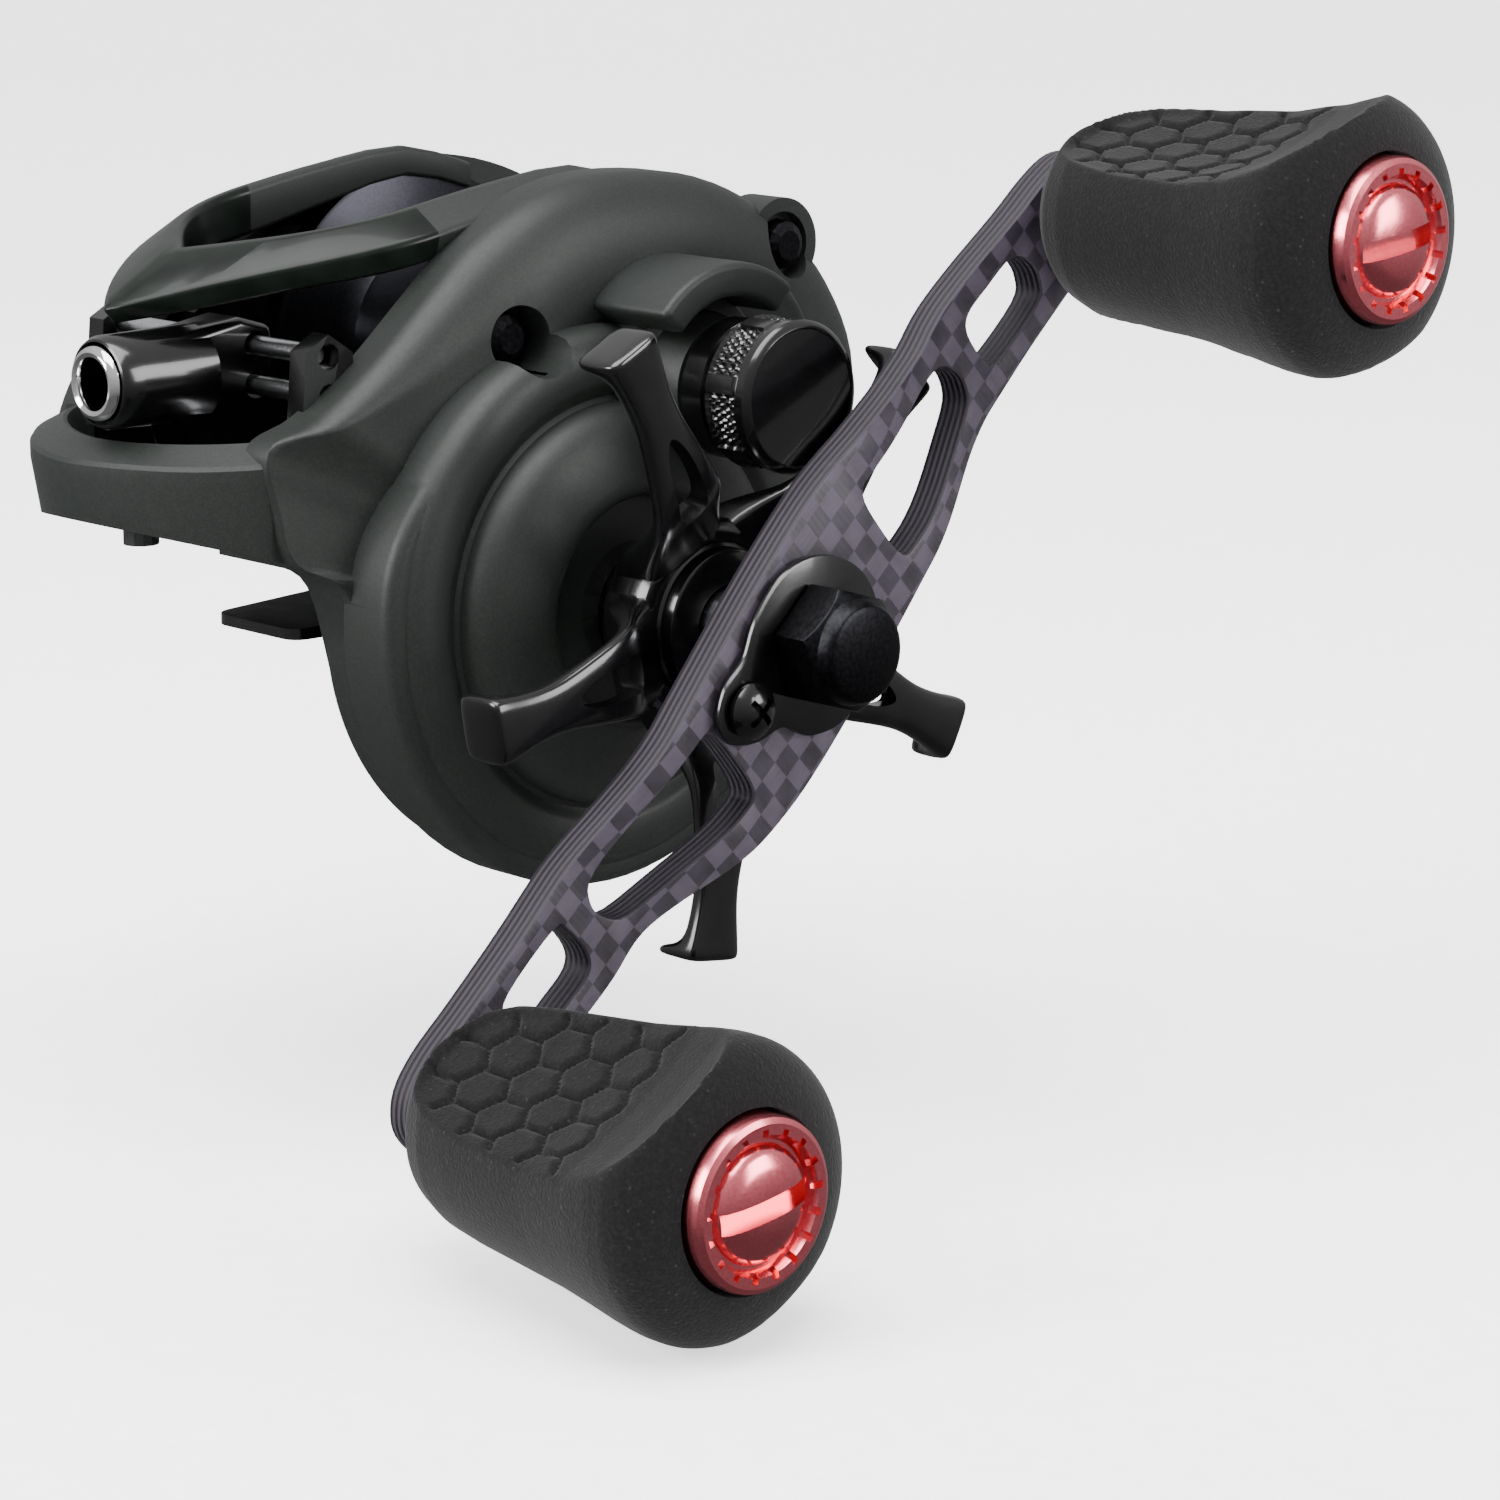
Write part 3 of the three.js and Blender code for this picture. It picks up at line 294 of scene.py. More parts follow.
# %% Foam
def eva_foam():
    material, tree, shader = new_material(
        "eva_foam", roughness=0.92, specular_ior_level=0.15, sheen_weight=0.06, sheen_roughness=0.5)
    point = object_point(tree)
    cells = add_grain(tree, shader, point, 0.32, 0.09, 3.0)
    specks = add_node(tree, "ShaderNodeTexVoronoi", {"Vector": point, "Scale": per_mm(1.0)})
    bright = add_node(tree, "ShaderNodeMapRange", {
        "Value": specks.outputs["Distance"], "From Min": 0.16, "From Max": 0.06}).outputs["Result"]
    tone = calculated(
        tree, "ADD", calculated(tree, "MULTIPLY", bright, cells), calculated(tree, "MULTIPLY", cells, 0.5))
    add_tint(tree, shader, tone, "#070708", "#232124", 0.2, 0.95)
    return material


EVA_FOAM = eva_foam()


# %% [markdown]
# ## Metals
# The caps are aluminium, machined bright and anodised rose: the dye sits in a clear oxide, so
# the reflections take its colour. Turning leaves very fine rings, drawn here as a fine noise in
# the colour, roughness and bump. The guide ring is chrome, the rods and shafts are ground steel,
# the gears are brass, and the nut and screws have a half-matt black oxide.

# %% Metals
def metal(name, dark, pale, smooth, rough, grain=0.4, depth=0.004):
    material, tree, shader, marks = speckled(name, dark, pale, grain, depth, metallic=1.0)
    add_roughness(tree, shader, marks, smooth, rough)
    return material


ROSE_ANODISED = metal("rose_anodised_aluminium", "#F67884", "#FA848E", 0.16, 0.26, 0.25, 0.001)
CHROME = metal("chrome_plate", "#DCDCDE", "#E4E4E6", 0.04, 0.1, 1.0, 0.001)
GROUND_STEEL = metal("ground_steel", "#B2B4B6", "#BCBEC0", 0.2, 0.3, 0.25, 0.001)
BLACK_OXIDE = metal("black_oxide_steel", "#18181A", "#222225", 0.3, 0.45)
SPOOL_ANODISED = metal("dark_anodised_aluminium", "#28282C", "#2E2E33", 0.26, 0.34, 0.25, 0.001)
GEAR_BRASS = metal("machined_brass", "#A98448", "#C49C58", 0.25, 0.4)
FRICTION_CLOTH = speckled("friction_cloth", "#161616", "#2A2A2A", 0.8, 0.05, roughness=0.85)[0]
print("materials", len(bpy.data.materials))


# %% [markdown]
# ## Modelling tools
# Turned pieces are a short profile spun about an axis. Flat pieces are an outline face that is
# extruded. Where pieces are welded or cut, a Boolean modifier does it. Work is done in
# millimetres, and `finished` brings a mesh to metres, so that object and mesh share one origin.

# %% Profiles and outlines
def lathe(profile, y=0.0, z=0.0, steps=96, ring=False):
    """A profile of (x, radius) points turned about an axis along X through (y, z)."""
    bm = bmesh.new()
    verts = [bm.verts.new((x, y, z + radius)) for x, radius in profile]
    edges = [bm.edges.new(pair) for pair in zip(verts, verts[1:])]
    if ring:
        edges.append(bm.edges.new((verts[-1], verts[0])))
    bmesh.ops.spin(bm, geom=verts + edges, cent=(0, y, z), axis=(1, 0, 0), angle=2 * math.pi,
                   steps=steps, use_merge=True)
    bmesh.ops.remove_doubles(bm, verts=bm.verts, dist=1e-4)
    bmesh.ops.recalc_face_normals(bm, faces=bm.faces)
    return bm


def smooth_span(before, here, there, beyond, steps):
    """A smooth curve from here to there, without its last point, shaped by the neighbours."""
    return geometry.interpolate_bezier(
        here, here + (there - before) / 6, there - (beyond - here) / 6, there, steps + 1)[:-1]


def smooth_outline(points, per_span=5):
    """A closed smooth line through (y, z) points."""
    corners = [Vector((0, *point)) for point in points]
    outline = []
    for i in range(len(corners)):
        outline += smooth_span(*[corners[(i + k) % len(corners)] for k in (-1, 0, 1, 2)], per_span)
    return [(point.y, point.z) for point in outline]


def extruded(corners, along):
    """A face through the corners, extruded."""
    bm = bmesh.new()
    bm.faces.new([bm.verts.new(corner) for corner in corners])
    grown = bmesh.ops.extrude_face_region(bm, geom=bm.faces[:])["geom"]
    moved = [item for item in grown if isinstance(item, bmesh.types.BMVert)]
    bmesh.ops.translate(bm, verts=moved, vec=along)
    bmesh.ops.recalc_face_normals(bm, faces=bm.faces)
    return bm


def slab(outline, x0, x1):
    """An outline of (y, z) points extruded along X."""
    return extruded([(x0, y, z) for y, z in outline], (x1 - x0, 0, 0))


def upright(plan, z0, z1):
    """A plan of (x, y) points extruded upwards."""
    return extruded([(x, y, z0) for x, y in plan], (0, 0, z1 - z0))


def turned(bm, angle, axis, centre=(0, 0, 0)):
    bmesh.ops.rotate(bm, verts=bm.verts, cent=centre, matrix=Matrix.Rotation(angle, 3, axis))
    return bm


def shifted(bm, x, y, z):
    bmesh.ops.translate(bm, verts=bm.verts, vec=(x, y, z))
    return bm


def disc(radius, x0, x1, y=0.0, z=0.0, sides=48):
    """A plain round bar along X, used to cut bores and wells."""
    bm = bmesh.new()
    bmesh.ops.create_cone(bm, cap_ends=True, segments=sides, radius1=radius, radius2=radius, depth=x1 - x0)
    return shifted(turned(bm, math.pi / 2, "Y"), (x0 + x1) / 2, y, z)


# %% Bevels, welds and cuts
def sharp_edges(bm, angle):
    return [edge for edge in bm.edges if edge.is_manifold and edge.calc_face_angle(0) > math.radians(angle)]


def soften(bm, width, segments=3, angle=40, where=None):
    """Rounds the sharp edges of a bmesh; where(edge) can leave some of them out."""
    edges = [edge for edge in sharp_edges(bm, angle) if where is None or where(edge)]
    bmesh.ops.bevel(bm, geom=edges, offset=width, segments=segments, profile=0.5, affect="EDGES",
                    clamp_overlap=True, material=-1)
    return bm


def as_mesh(bm, name):
    mesh = bpy.data.meshes.new(name)
    bm.to_mesh(mesh)
    bm.free()
    return mesh


def temporary(bm):
    return new_object("work", as_mesh(bm, "work"))


def baked(obj, *others):
    """A temporary object's shape after its modifiers; it and the others are then removed."""
    evaluated = obj.evaluated_get(bpy.context.evaluated_depsgraph_get())
    result = bmesh.new()
    result.from_mesh(evaluated.to_mesh())
    evaluated.to_mesh_clear()
    for spent in (obj, *others):
        mesh = spent.data
        bpy.data.objects.remove(spent)
        bpy.data.meshes.remove(mesh)
    return result


def combine(body, weld=(), cut=(), common=()):
    """Welds bmeshes to a body, then cuts others from it, then keeps what others share."""
    base = temporary(body)
    tools = []
    for operation, group in (("UNION", weld), ("DIFFERENCE", cut), ("INTERSECT", common)):
        for bm in group:
            modifier = base.modifiers.new(operation, "BOOLEAN")
            modifier.operation = operation
            modifier.solver = "EXACT"
            modifier.object = temporary(bm)
            tools.append(modifier.object)
    result = baked(base, *tools)
    bmesh.ops.remove_doubles(result, verts=result.verts, dist=1e-3)
    return result


def refined(bm, levels):
    """The same shape after a subdivision surface."""
    obj = temporary(bm)
    modifier = obj.modifiers.new("refine", "SUBSURF")
    modifier.levels = levels
    modifier.render_levels = levels
    return baked(obj)


def merged(*shapes):
    """Several bmeshes as one, side by side."""
    result = bmesh.new()
    for bm in shapes:
        mesh = as_mesh(bm, "work")
        result.from_mesh(mesh)
        bpy.data.meshes.remove(mesh)
    return result


# %% Finishing a piece
def finished(bm, name, body, materials, replaced, crease=32):
    """Makes the object in metres, shades it, and gives it to its moving body."""
    bmesh.ops.recalc_face_normals(bm, faces=bm.faces)
    bmesh.ops.scale(bm, vec=(MM, MM, MM), verts=bm.verts)
    mesh = as_mesh(bm, name)
    for material in materials:
        mesh.materials.append(material)
    mesh.shade_smooth()
    mesh.set_sharp_from_angle(angle=math.radians(crease))
    obj = new_object(name, mesh)
    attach(obj, body)
    if replaced:
        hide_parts(*replaced)
    print(f"{name}: {len(mesh.polygons)} faces")


# %% [markdown]
# ## Handle-side plate
# This casting holds the gears. Its outline runs from a point beside the nose, over the top and
# round the gear housing. From the rim the surface rolls over in a wide shoulder. A raised
# island carries the round gear cover and the arch over the tension knob. Plain insetting would
# fold the outline where the plate narrows, so every rim point moves straight towards the drive
# axis instead, through a quarter round whose width and height change along the rim.
# The cover is turned on a lathe and welded on, and the wells and bores are cut last.

# %% Outlines of the body
COVER_RADIUS = 25.2


def on_circle(centre, radius, degrees):
    turn = math.radians(degrees)
    return (centre[0] + radius * math.cos(turn), centre[1] + radius * math.sin(turn))


SIDE_OUTLINE = smooth_outline([
    (-37.6, 9.6), (-33.2, 6.4),
    *[on_circle(DRIVE, COVER_RADIUS - 0.6, degrees) for degrees in (195, 212, 230, 248, 265, 283, 300, 318, 335)],
    (21.5, 3.0), (28.0, 11.5), (30.4, 20.6), (26.9, 29.0), (19.8, 35.6), (10.8, 39.8),
    (0, 41.0), (-8.5, 39.8), (-16.2, 36.0), (-21.8, 31.4), (-28.2, 26.0), (-34.6, 21.8),
    (-39.6, 19.6), (-39.0, 14.0)])

ISLAND_OUTLINE = smooth_outline([
    *[on_circle(DRIVE, 26.4, degrees) for degrees in (170, 195, 220, 245, 270, 295, 320)],
    (17.0, 3.5), (19.4, 13.0), (19.6, 22.5), (17.6, 28.2), (13.4, 31.6), (8.6, 32.7), (3.2, 31.8),
    (-2.5, 29.2), (-5.6, 26.6), (-9.2, 24.1), (-15.4, 22.8), (-22.2, 20.0), (-28.4, 15.6)])

SCREW_PLACES = [(-14.5, 27.4), (19.9, 32.9)]


# %% Rolled shoulder
def share_of(value, start, end):
    """0 before start, 1 after end, and a straight rise between."""
    return min(max((value - start) / (end - start), 0), 1)


def blend(value, start, end):
    """0 before start, 1 after end, and a smooth step between."""
    share = share_of(value, start, end)
    return share * share * (3 - 2 * share)


def sweep(rings):
    """A solid made by carrying a face from ring to ring, all with the same number of points."""
    bm = bmesh.new()
    face = bm.faces.new([bm.verts.new(place) for place in rings[0]])
    for i, ring in enumerate(rings[1:]):
        grown = bmesh.ops.extrude_face_region(bm, geom=[face])["geom"]
        if i:
            bmesh.ops.delete(bm, geom=[face], context="FACES_ONLY")
        face = next(item for item in grown if isinstance(item, bmesh.types.BMFace))
        for vert, place in zip(face.verts, ring):
            vert.co = place
    bmesh.ops.recalc_face_normals(bm, faces=bm.faces)
    return bm


def rolled_plate(outline, x0, x1, centre, core, swell, shoulder):
    """An outline carried from x0 to x1, then over a quarter round, then in to a core circle
    that stands `swell` out. shoulder(y, z) gives the round's width and height at a point."""
    side = 1 if x1 > x0 else -1
    rings = [[(x0, y, z) for y, z in outline], [(x1, y, z) for y, z in outline]]
    for step in range(1, 11):
        turn = math.pi / 20 * step
        ring = []
        for y, z in outline:
            width, height = shoulder(y, z)
            inwards = (Vector(centre) - Vector((y, z))).normalized() * width * (1 - math.cos(turn))
            ring.append(Vector((x1 + side * height * math.sin(turn), y + inwards.x, z + inwards.y)))
        rings.append(ring)
    middle = Vector((x1 + side * swell, *centre))
    ends = []
    for place in ring:
        out = place - middle
        out.x = 0
        ends.append(middle + out.normalized() * core)
    rings += [[start.lerp(end, share) for start, end in zip(ring, ends)] for share in (0.35, 0.7, 1)]
    return sweep(rings)


def side_shoulder(y, z):
    """A tight corner beside the nose that opens into a wide shoulder over the spool, and a
    plain corner where the gear cover stands."""
    turn = math.degrees(math.atan2(z - DRIVE[1], y - DRIVE[0]))
    along = share_of(y + 37, 0, 24)
    rolls = blend(turn, -8, 8) * (1 - blend(turn, 158, 167))
    nose = share_of(y + 39.6, 0, 5)
    return 0.25 + (0.55 + 8.2 * along) * rolls, 0.25 + 1.85 * nose + 3.0 * along


PLATE_BACK = 12.4
plate_shell = rolled_plate(SIDE_OUTLINE, PLATE_BACK, 15.4, DRIVE, 15.0, 5.1, side_shoulder)
island = soften(slab(ISLAND_OUTLINE, 17.0, 23.2), 1.3, 4, 60, lambda edge: edge.verts[0].co.x > 23)
print("shoulder top at x", round(max(vert.co.x for vert in plate_shell.verts), 2))

# %% [markdown]
# The gear cover is a shallow lid: a flat ring, a soft dark valley, and a low dome with a recess
# where the star wheel sits. All of it is one profile, spun about the drive axis.

# %% Gear cover
COVER_PROFILE = [
    (13.0, 0), (13.0, 25.2), (21.4, 25.2), (22.6, 24.9), (23.5, 24.2), (24.0, 23.2),
    (24.2, 22.2), (24.2, 20.6), (24.0, 20.0), (23.5, 19.5), (23.3, 19.0), (23.6, 18.6), (24.6, 18.3),
    (25.6, 17.7), (26.4, 16.6), (27.0, 15.2), (27.45, 13.6), (27.7, 12.2), (27.8, 11.3), (27.65, 10.7),
    (27.2, 10.3), (25.6, 10.0), (25.6, 0)]
cover = lathe(COVER_PROFILE, *DRIVE, steps=144)


# %% [markdown]
# The tension knob screws onto a threaded boss, and a thick arch shields its top. The arch is a
# ring sector: an arc outline, extruded and rounded.

# %% Arch and boss
def sector(inner, outer, start, end, centre, steps=20):
    """The outline of part of a ring."""
    turns = [start + (end - start) * i / steps for i in range(steps + 1)]
    out = [on_circle(centre, outer, turn) for turn in turns]
    back = [on_circle(centre, inner, turn) for turn in reversed(turns)]
    return out + back


arch = soften(slab(sector(8.2, 11.3, 48, 140, SPOOL), 19.0, 30.2), 1.0, 4, 50)
boss = lathe([(18, 0), (18, 8.6), (24.4, 8.6), (25.0, 8.0), (25.2, 6.6), (29.0, 6.0), (29.0, 0)], *SPOOL)


# %% Plate with wells and bores
CHAMBER = smooth_outline([
    (-34.6, 12.4), (-29.5, 9.4), (-20, 0), (0, -5), (15, 3), (23, 9), (26.2, 14), (27.6, 20.4), (24.6, 27.2),
    (18.2, 33.0), (10, 37.2), (0, 38.2), (-7.5, 37.2), (-14.4, 34.2), (-19.8, 28.9), (-26.2, 21.6), (-33.2, 16.9)])
DEEP_CHAMBER = smooth_outline([
    (-18, 12), (-8, 0), (12, 4), (20, 10), (23, 18), (21, 25), (15, 30), (6, 33.6), (-4, 33), (-10, 28), (-15, 20)])


def handle_side_plate():
    hollow = slab(CHAMBER, 8, 15.5)
    deep = slab(DEEP_CHAMBER, 8, 19.0)
    housing = disc(22.6, 8, 22.4, *DRIVE, sides=96)
    wells = [disc(3.1, 16.8, 30, *place) for place in SCREW_PLACES]
    shanks = [disc(1.7, 8, 18, *place, sides=24) for place in SCREW_PLACES]
    pillars = [disc(4.4, PLATE_BACK + 1, 18.0, *place) for place in SCREW_PLACES]
    shell = combine(plate_shell, weld=[island, cover, arch, boss])
    hollowed = combine(shell, cut=[hollow, deep, housing])
    plate = combine(hollowed, weld=pillars)
    bores = [disc(6.3, 8, 25.1, *DRIVE), disc(3.9, 8, 30, *DRIVE), disc(2.6, 8, 35, *SPOOL)]
    return combine(plate, cut=[*wells, *shanks, *bores])


finished(handle_side_plate(), "handle_side_casting", "reel_body", [MATTE_ENAMEL],
         ["handle_side_plate"], crease=35)

# %% [markdown]
# ## Palm-side plate
# The hand rests on this side, so it is one smooth bulge with a wide shoulder and a brake dial
# sunk flush into it. It is made as the other plate is, rolling outwards to -X.

# %% Palm-side plate
PALM_OUTLINE = smooth_outline([
    (-34.0, 12.6), (-28.5, 9.2), (-20.0, 5.8), (-6.0, 3.2), (9.0, 3.4),
    (21.5, 7.0), (28.6, 14.0), (31.2, 22.0), (28.0, 29.5), (21.5, 35.4), (13.0, 38.8),
    (2.9, 39.8), (-8.0, 38.4), (-17.0, 35.0), (-24.5, 30.2), (-30.0, 25.2), (-33.8, 20.6),
    (-35.6, 15.5)])


def palm_side_plate():
    shell = rolled_plate(PALM_OUTLINE, -18.2, -21.2, SPOOL, 6.0, 4.6, lambda y, z: (11.0, 4.6))
    hollow = slab([(y * 0.9, 21.4 + (z - 21.4) * 0.88) for y, z in PALM_OUTLINE], -22.6, -10)
    return combine(shell, cut=[hollow, disc(9.35, -30, -25.0, *SPOOL), disc(2.95, -30, -10, *SPOOL)])


finished(palm_side_plate(), "palm_side_casting", "reel_body", [MATTE_ENAMEL],
         ["palm_side_plate"], crease=28)


# %% [markdown]
# The brake dial is a low disc with a ring of finger notches and a raised bar across it. The
# notches are cut with a wheel of small round bars.

# %% Brake dial
def ring_of(shape, count, centre, first=0.0):
    """Copies of one shape turned about an axis along X."""
    copies = []
    for i in range(count):
        angle = math.radians(first) + 2 * math.pi * i / count
        copies.append(turned(shape(), angle, "X", (0, *centre)))
    return merged(*copies)


def brake_dial():
    body = lathe([(-25.3, 0), (-25.3, 8.4), (-26.4, 9.0), (-26.8, 8.7), (-27.0, 8.0), (-26.7, 6.6),
                  (-26.6, 6.0), (-26.7, 0)], *SPOOL)
    notches = ring_of(lambda: disc(0.5, -30, -26.2, SPOOL[0], SPOOL[1] + 8.9, sides=12), 24, SPOOL)
    bar = soften(slab([(-4.4, 21.6), (8.8, 21.6), (8.8, 23.4), (-4.4, 23.4)], -27.0, -26.0), 0.3, 2, 50)
    return combine(body, weld=[bar], cut=[notches])


finished(brake_dial(), "brake_dial_cap", "brake_control", [BLACK_LACQUER], ["brake_dial"])

# %% [markdown]
# ## Nose
# The nose wraps round the level wind like a shallow tray. Seen from above it is half a pointed
# ellipse. A ledge a few millimetres wide runs round its top and falls away to the outside, and
# inside the ledge a chamfer leads down into the trough. One wall section, with its ledge and
# chamfer, is carried round the plan by extruding its face from place to place. A sloping floor
# and a small screw head under the chin are welded in.

# %% Nose tray
NOSE_BACK = -36.0
NOSE_SEAM = -35.9  # the wall ends here, inside the frame
NOSE_RIGHT = 15.6  # the wall stays inside the side plate here


def nose_plan(margin):
    """Half a pointed ellipse in plan, as (x, y) points, drawn in by a margin."""
    half, length, power = 18.2 - margin, 12.9 - margin, 1.6
    points = [(-1.5 - half, NOSE_SEAM)]
    for step in range(61):
        across = math.cos(math.pi * (1 + step / 60))
        ahead = (1 - abs(across) ** power) ** (1 / power)
        points.append((min(-1.5 + half * across, NOSE_RIGHT - margin), NOSE_BACK - length * ahead))
    return points + [(NOSE_RIGHT - margin, NOSE_SEAM)]


NOSE_SECTION = [  # (distance in from the plan, z); the first and last points follow the chin
    (0.9, 0), (0, 16.9), (0, 18.2), (0.3, 18.6), (3.4, 20.0), (3.8, 19.9), (4.6, 18.2), (4.6, 0)]


def chin(y):
    """The height of the underside, which rises to the front."""
    return 9.0 + math.tan(math.radians(16)) * max(0, NOSE_BACK - y)


def nose_tray():
    plans = [nose_plan(margin) for margin, _ in NOSE_SECTION]
    rings = []
    for i in range(len(plans[0])):
        ring = []
        for plan, (margin, z) in zip(plans, NOSE_SECTION):
            x, y = plan[i]
            ring.append((x, y, z - 0.5 * blend(-y, 36, 46) if z else chin(y)))
        rings.append(ring)
    floor = upright(nose_plan(4), 0, 1.6)
    for vert in floor.verts:
        vert.co.z += chin(vert.co.y)
    screw = upright([on_circle((2.0, -43.5), 1.6, 30 * i) for i in range(12)], chin(-43.5) - 0.9, 14)
    return merged(sweep(rings), floor, screw)


finished(nose_tray(), "nose_tray", "reel_body", [MATTE_ENAMEL], [], crease=24)

# %% [markdown]
# ## Frame
# Behind the plates, the frame's two walls, its beams and the ears that hold the guide rods show
# through the window over the spool. The CAD solid has the right shape. A copy of it is merged,
# so that its faces share corners, and shaded by angle. The ears get the black lacquer as painted
# shade, so that the inside of the window reads dark.

# %% Copies of CAD solids
# faces of the ears past these limits are painted black: painted shade inside the window
PAINTED_SHADE_BEFORE, PAINTED_SHADE_ABOVE = -22, 17  # the y and z limits of the ears


def copy_of(node):
    """A bmesh in millimetres with the CAD node's shape, its corners merged."""
    bm = bmesh.new()
    bm.from_mesh(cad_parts[node].data)
    bmesh.ops.scale(bm, vec=(1 / MM, 1 / MM, 1 / MM), verts=bm.verts)
    bmesh.ops.remove_doubles(bm, verts=bm.verts, dist=1e-3)
    bmesh.ops.dissolve_limit(bm, angle_limit=math.radians(1), verts=bm.verts, edges=bm.edges)
    return bm


def frame_walls():
    """The frame without its nose, which the tray stands for; its ears are painted black as shade."""
    nose = upright([(-40, -80), (40, -80), (40, -35.4), (-40, -35.4)], -20, 60)
    walls = combine(copy_of("frame"), cut=[nose])
    # the ears' faces take the black lacquer: painted shade for the dark inside of the window
    for face in walls.faces:
        place = face.calc_center_median()
        face.material_index = int(place.y < PAINTED_SHADE_BEFORE and place.z > PAINTED_SHADE_ABOVE)
    return walls


finished(frame_walls(), "frame_walls", "reel_body", [MATTE_ENAMEL, BLACK_LACQUER], ["frame"])
finished(copy_of("reel_foot"), "foot_plate", "reel_body", [BLACK_LACQUER], ["reel_foot"])
finished(copy_of("thumb_bar"), "thumb_bar_pad", "bar", [BLACK_LACQUER], ["thumb_bar"])

# %% [markdown]
# ## Hood
# The hood is a pointed loop that bridges the spool. From above it is a long arch with an open
# middle. Its top follows a gentle curve from the tip up to the body. One section, with a ridge
# low on its outer side, is carried from arm to arm round the tip, so that the lacquer draws a
# bright line along each arm. The rear ends of its arms are enamelled like the body.

# %% Hood
HOOD_LEFT, HOOD_RIGHT = -18.8, 13.2
HOOD_TIP = -43.4
HOOD_ARM = 4.6
TIP_SHARE = 2.0
HOOD_SEAM = -17.2


def smooth_line(points, per_span=4):
    """An open smooth line through (y, z) points."""
    corners = [Vector(point).to_3d() for point in points]
    last = len(corners) - 1
    path = []
    for i in range(last):
        path += smooth_span(*[corners[min(max(i + k, 0), last)] for k in (-1, 0, 1, 2)], per_span)
    return path + [corners[last]]


def height_at(path, y):
    """The z of a line of rising y at one y."""
    for here, there in zip(path, path[1:]):
        if y <= there.x:
            break
    return here.y + (there.y - here.y) * share_of(y, here.x, there.x)


HOOD_TOP = smooth_line([(-45, 31.6), (-41, 33.4), (-34.5, 35.5), (-19.6, 38.4), (-8.6, 40.2), (1, 41.1),
                        (9, 39.0)])
HOOD_BASE = smooth_line([(-45, 28.2), (-37.5, 30.2), (-30, 32.0), (-18.6, 33.9), (-8, 36.4), (1, 38.2),
                         (9, 36.4)])
HOOD_SECTION = [  # (share of the way in, share of the height)
    (0, 0.5), (0.12, 0.08), (0.35, 0), (0.85, 0), (1, 0.1), (1, 0.88), (0.92, 1), (0.7, 0.99), (0.06, 0.6)]


def hood_plan(margin):
    """The plan of the loop as (x, y) points: two bezier sides that meet at the tip."""
    left, right = HOOD_LEFT + margin, HOOD_RIGHT - margin
    middle = (HOOD_LEFT + HOOD_RIGHT) / 2
    tip = Vector((middle, HOOD_TIP + margin * TIP_SHARE, 0))
    sides = []
    for edge, lean in ((left, -8), (right, 8)):
        start = Vector((edge, -18, 0))
        sides.append(geometry.interpolate_bezier(
            start, Vector((edge, -25, 0)), Vector((middle + lean, tip.y + 5.5, 0)), tip, 18))
    straight = (9, 5, 1, -3, -7, -11, -14.5)
    points = [(left, y) for y in straight] + [(p.x, p.y) for p in sides[0]]
    points += [(p.x, p.y) for p in reversed(sides[1][:-1])]
    return points + [(right, y) for y in reversed(straight)]


def hood():
    rings = []
    for outer, inner in zip(hood_plan(0), hood_plan(HOOD_ARM)):
        ring = []
        for share, height in HOOD_SECTION:
            x, y = Vector(outer).lerp(Vector(inner), share)
            low, high = height_at(HOOD_BASE, y), height_at(HOOD_TOP, y)
            ring.append((x, y, low + (high - low) * height))
        rings.append(ring)
    shape = soften(sweep(rings), 0.3, 2, 24)
    for face in shape.faces:
        face.material_index = int(face.calc_center_median().y > HOOD_SEAM)
    return shape


finished(hood(), "hood_loop", "reel_body", [HOOD_LACQUER, MATTE_ENAMEL], ["front_hood"])

# %% [markdown]
# ## Spool and level wind
# The spool is turned from aluminium: two thin flanges, a drum and a dished side. The guide is a
# short black tube with a bright ring in its mouth, on a carriage that rides on two ground rods.

# %% Spool and rods
ROD_Y, ROD_HEIGHTS = -30.9, (26.8, 23.2)


def spool():
    left, right, rim, drum = -15.8, 10.2, 16.5, 9.6
    flange = [(0, rim - 0.3), (0.2, rim), (0.8, rim), (1.0, rim - 0.4), (2.2, drum + 1.4), (3.4, drum)]
    return lathe([
        *[(left + inwards, radius) for inwards, radius in flange],
        *[(right - inwards, radius) for inwards, radius in reversed(flange)], (right - 0.4, rim - 1.2),
        (right - 1.7, drum - 1), (right - 3.4, 4.2), (right - 8, 3.4), (right - 8, 1.9), (left + 9, 1.9),
        (left + 9, drum - 1.4), (left + 1.4, drum - 0.6), (left + 0.4, rim - 1.2)], *SPOOL, steps=128, ring=True)


def ground_rod(x0, x1, radius, y, z):
    return lathe([(x0, 0), (x0, radius - 0.15), (x0 + 0.15, radius), (x1 - 0.15, radius), (x1, radius - 0.15),
                  (x1, 0)], y, z, steps=32)


finished(spool(), "spool_turned", "spool_body", [SPOOL_ANODISED], ["spool"])
for where, node, z in zip(("above", "below"), ("upper_guide_rod", "lower_guide_rod"), ROD_HEIGHTS):
    finished(ground_rod(-18.2, 11.6, 0.9, ROD_Y, z), f"guide_rod_{where}", "reel_body", [GROUND_STEEL], [node])


# %% Guide tube and ring
GUIDE_Z = 24.6  # of the ring's centre


def towards_nose(bm):
    """Turns a piece made along X so that it points to the nose, at the guide's height."""
    return shifted(turned(bm, -math.pi / 2, "Z"), 0, 0, GUIDE_Z)


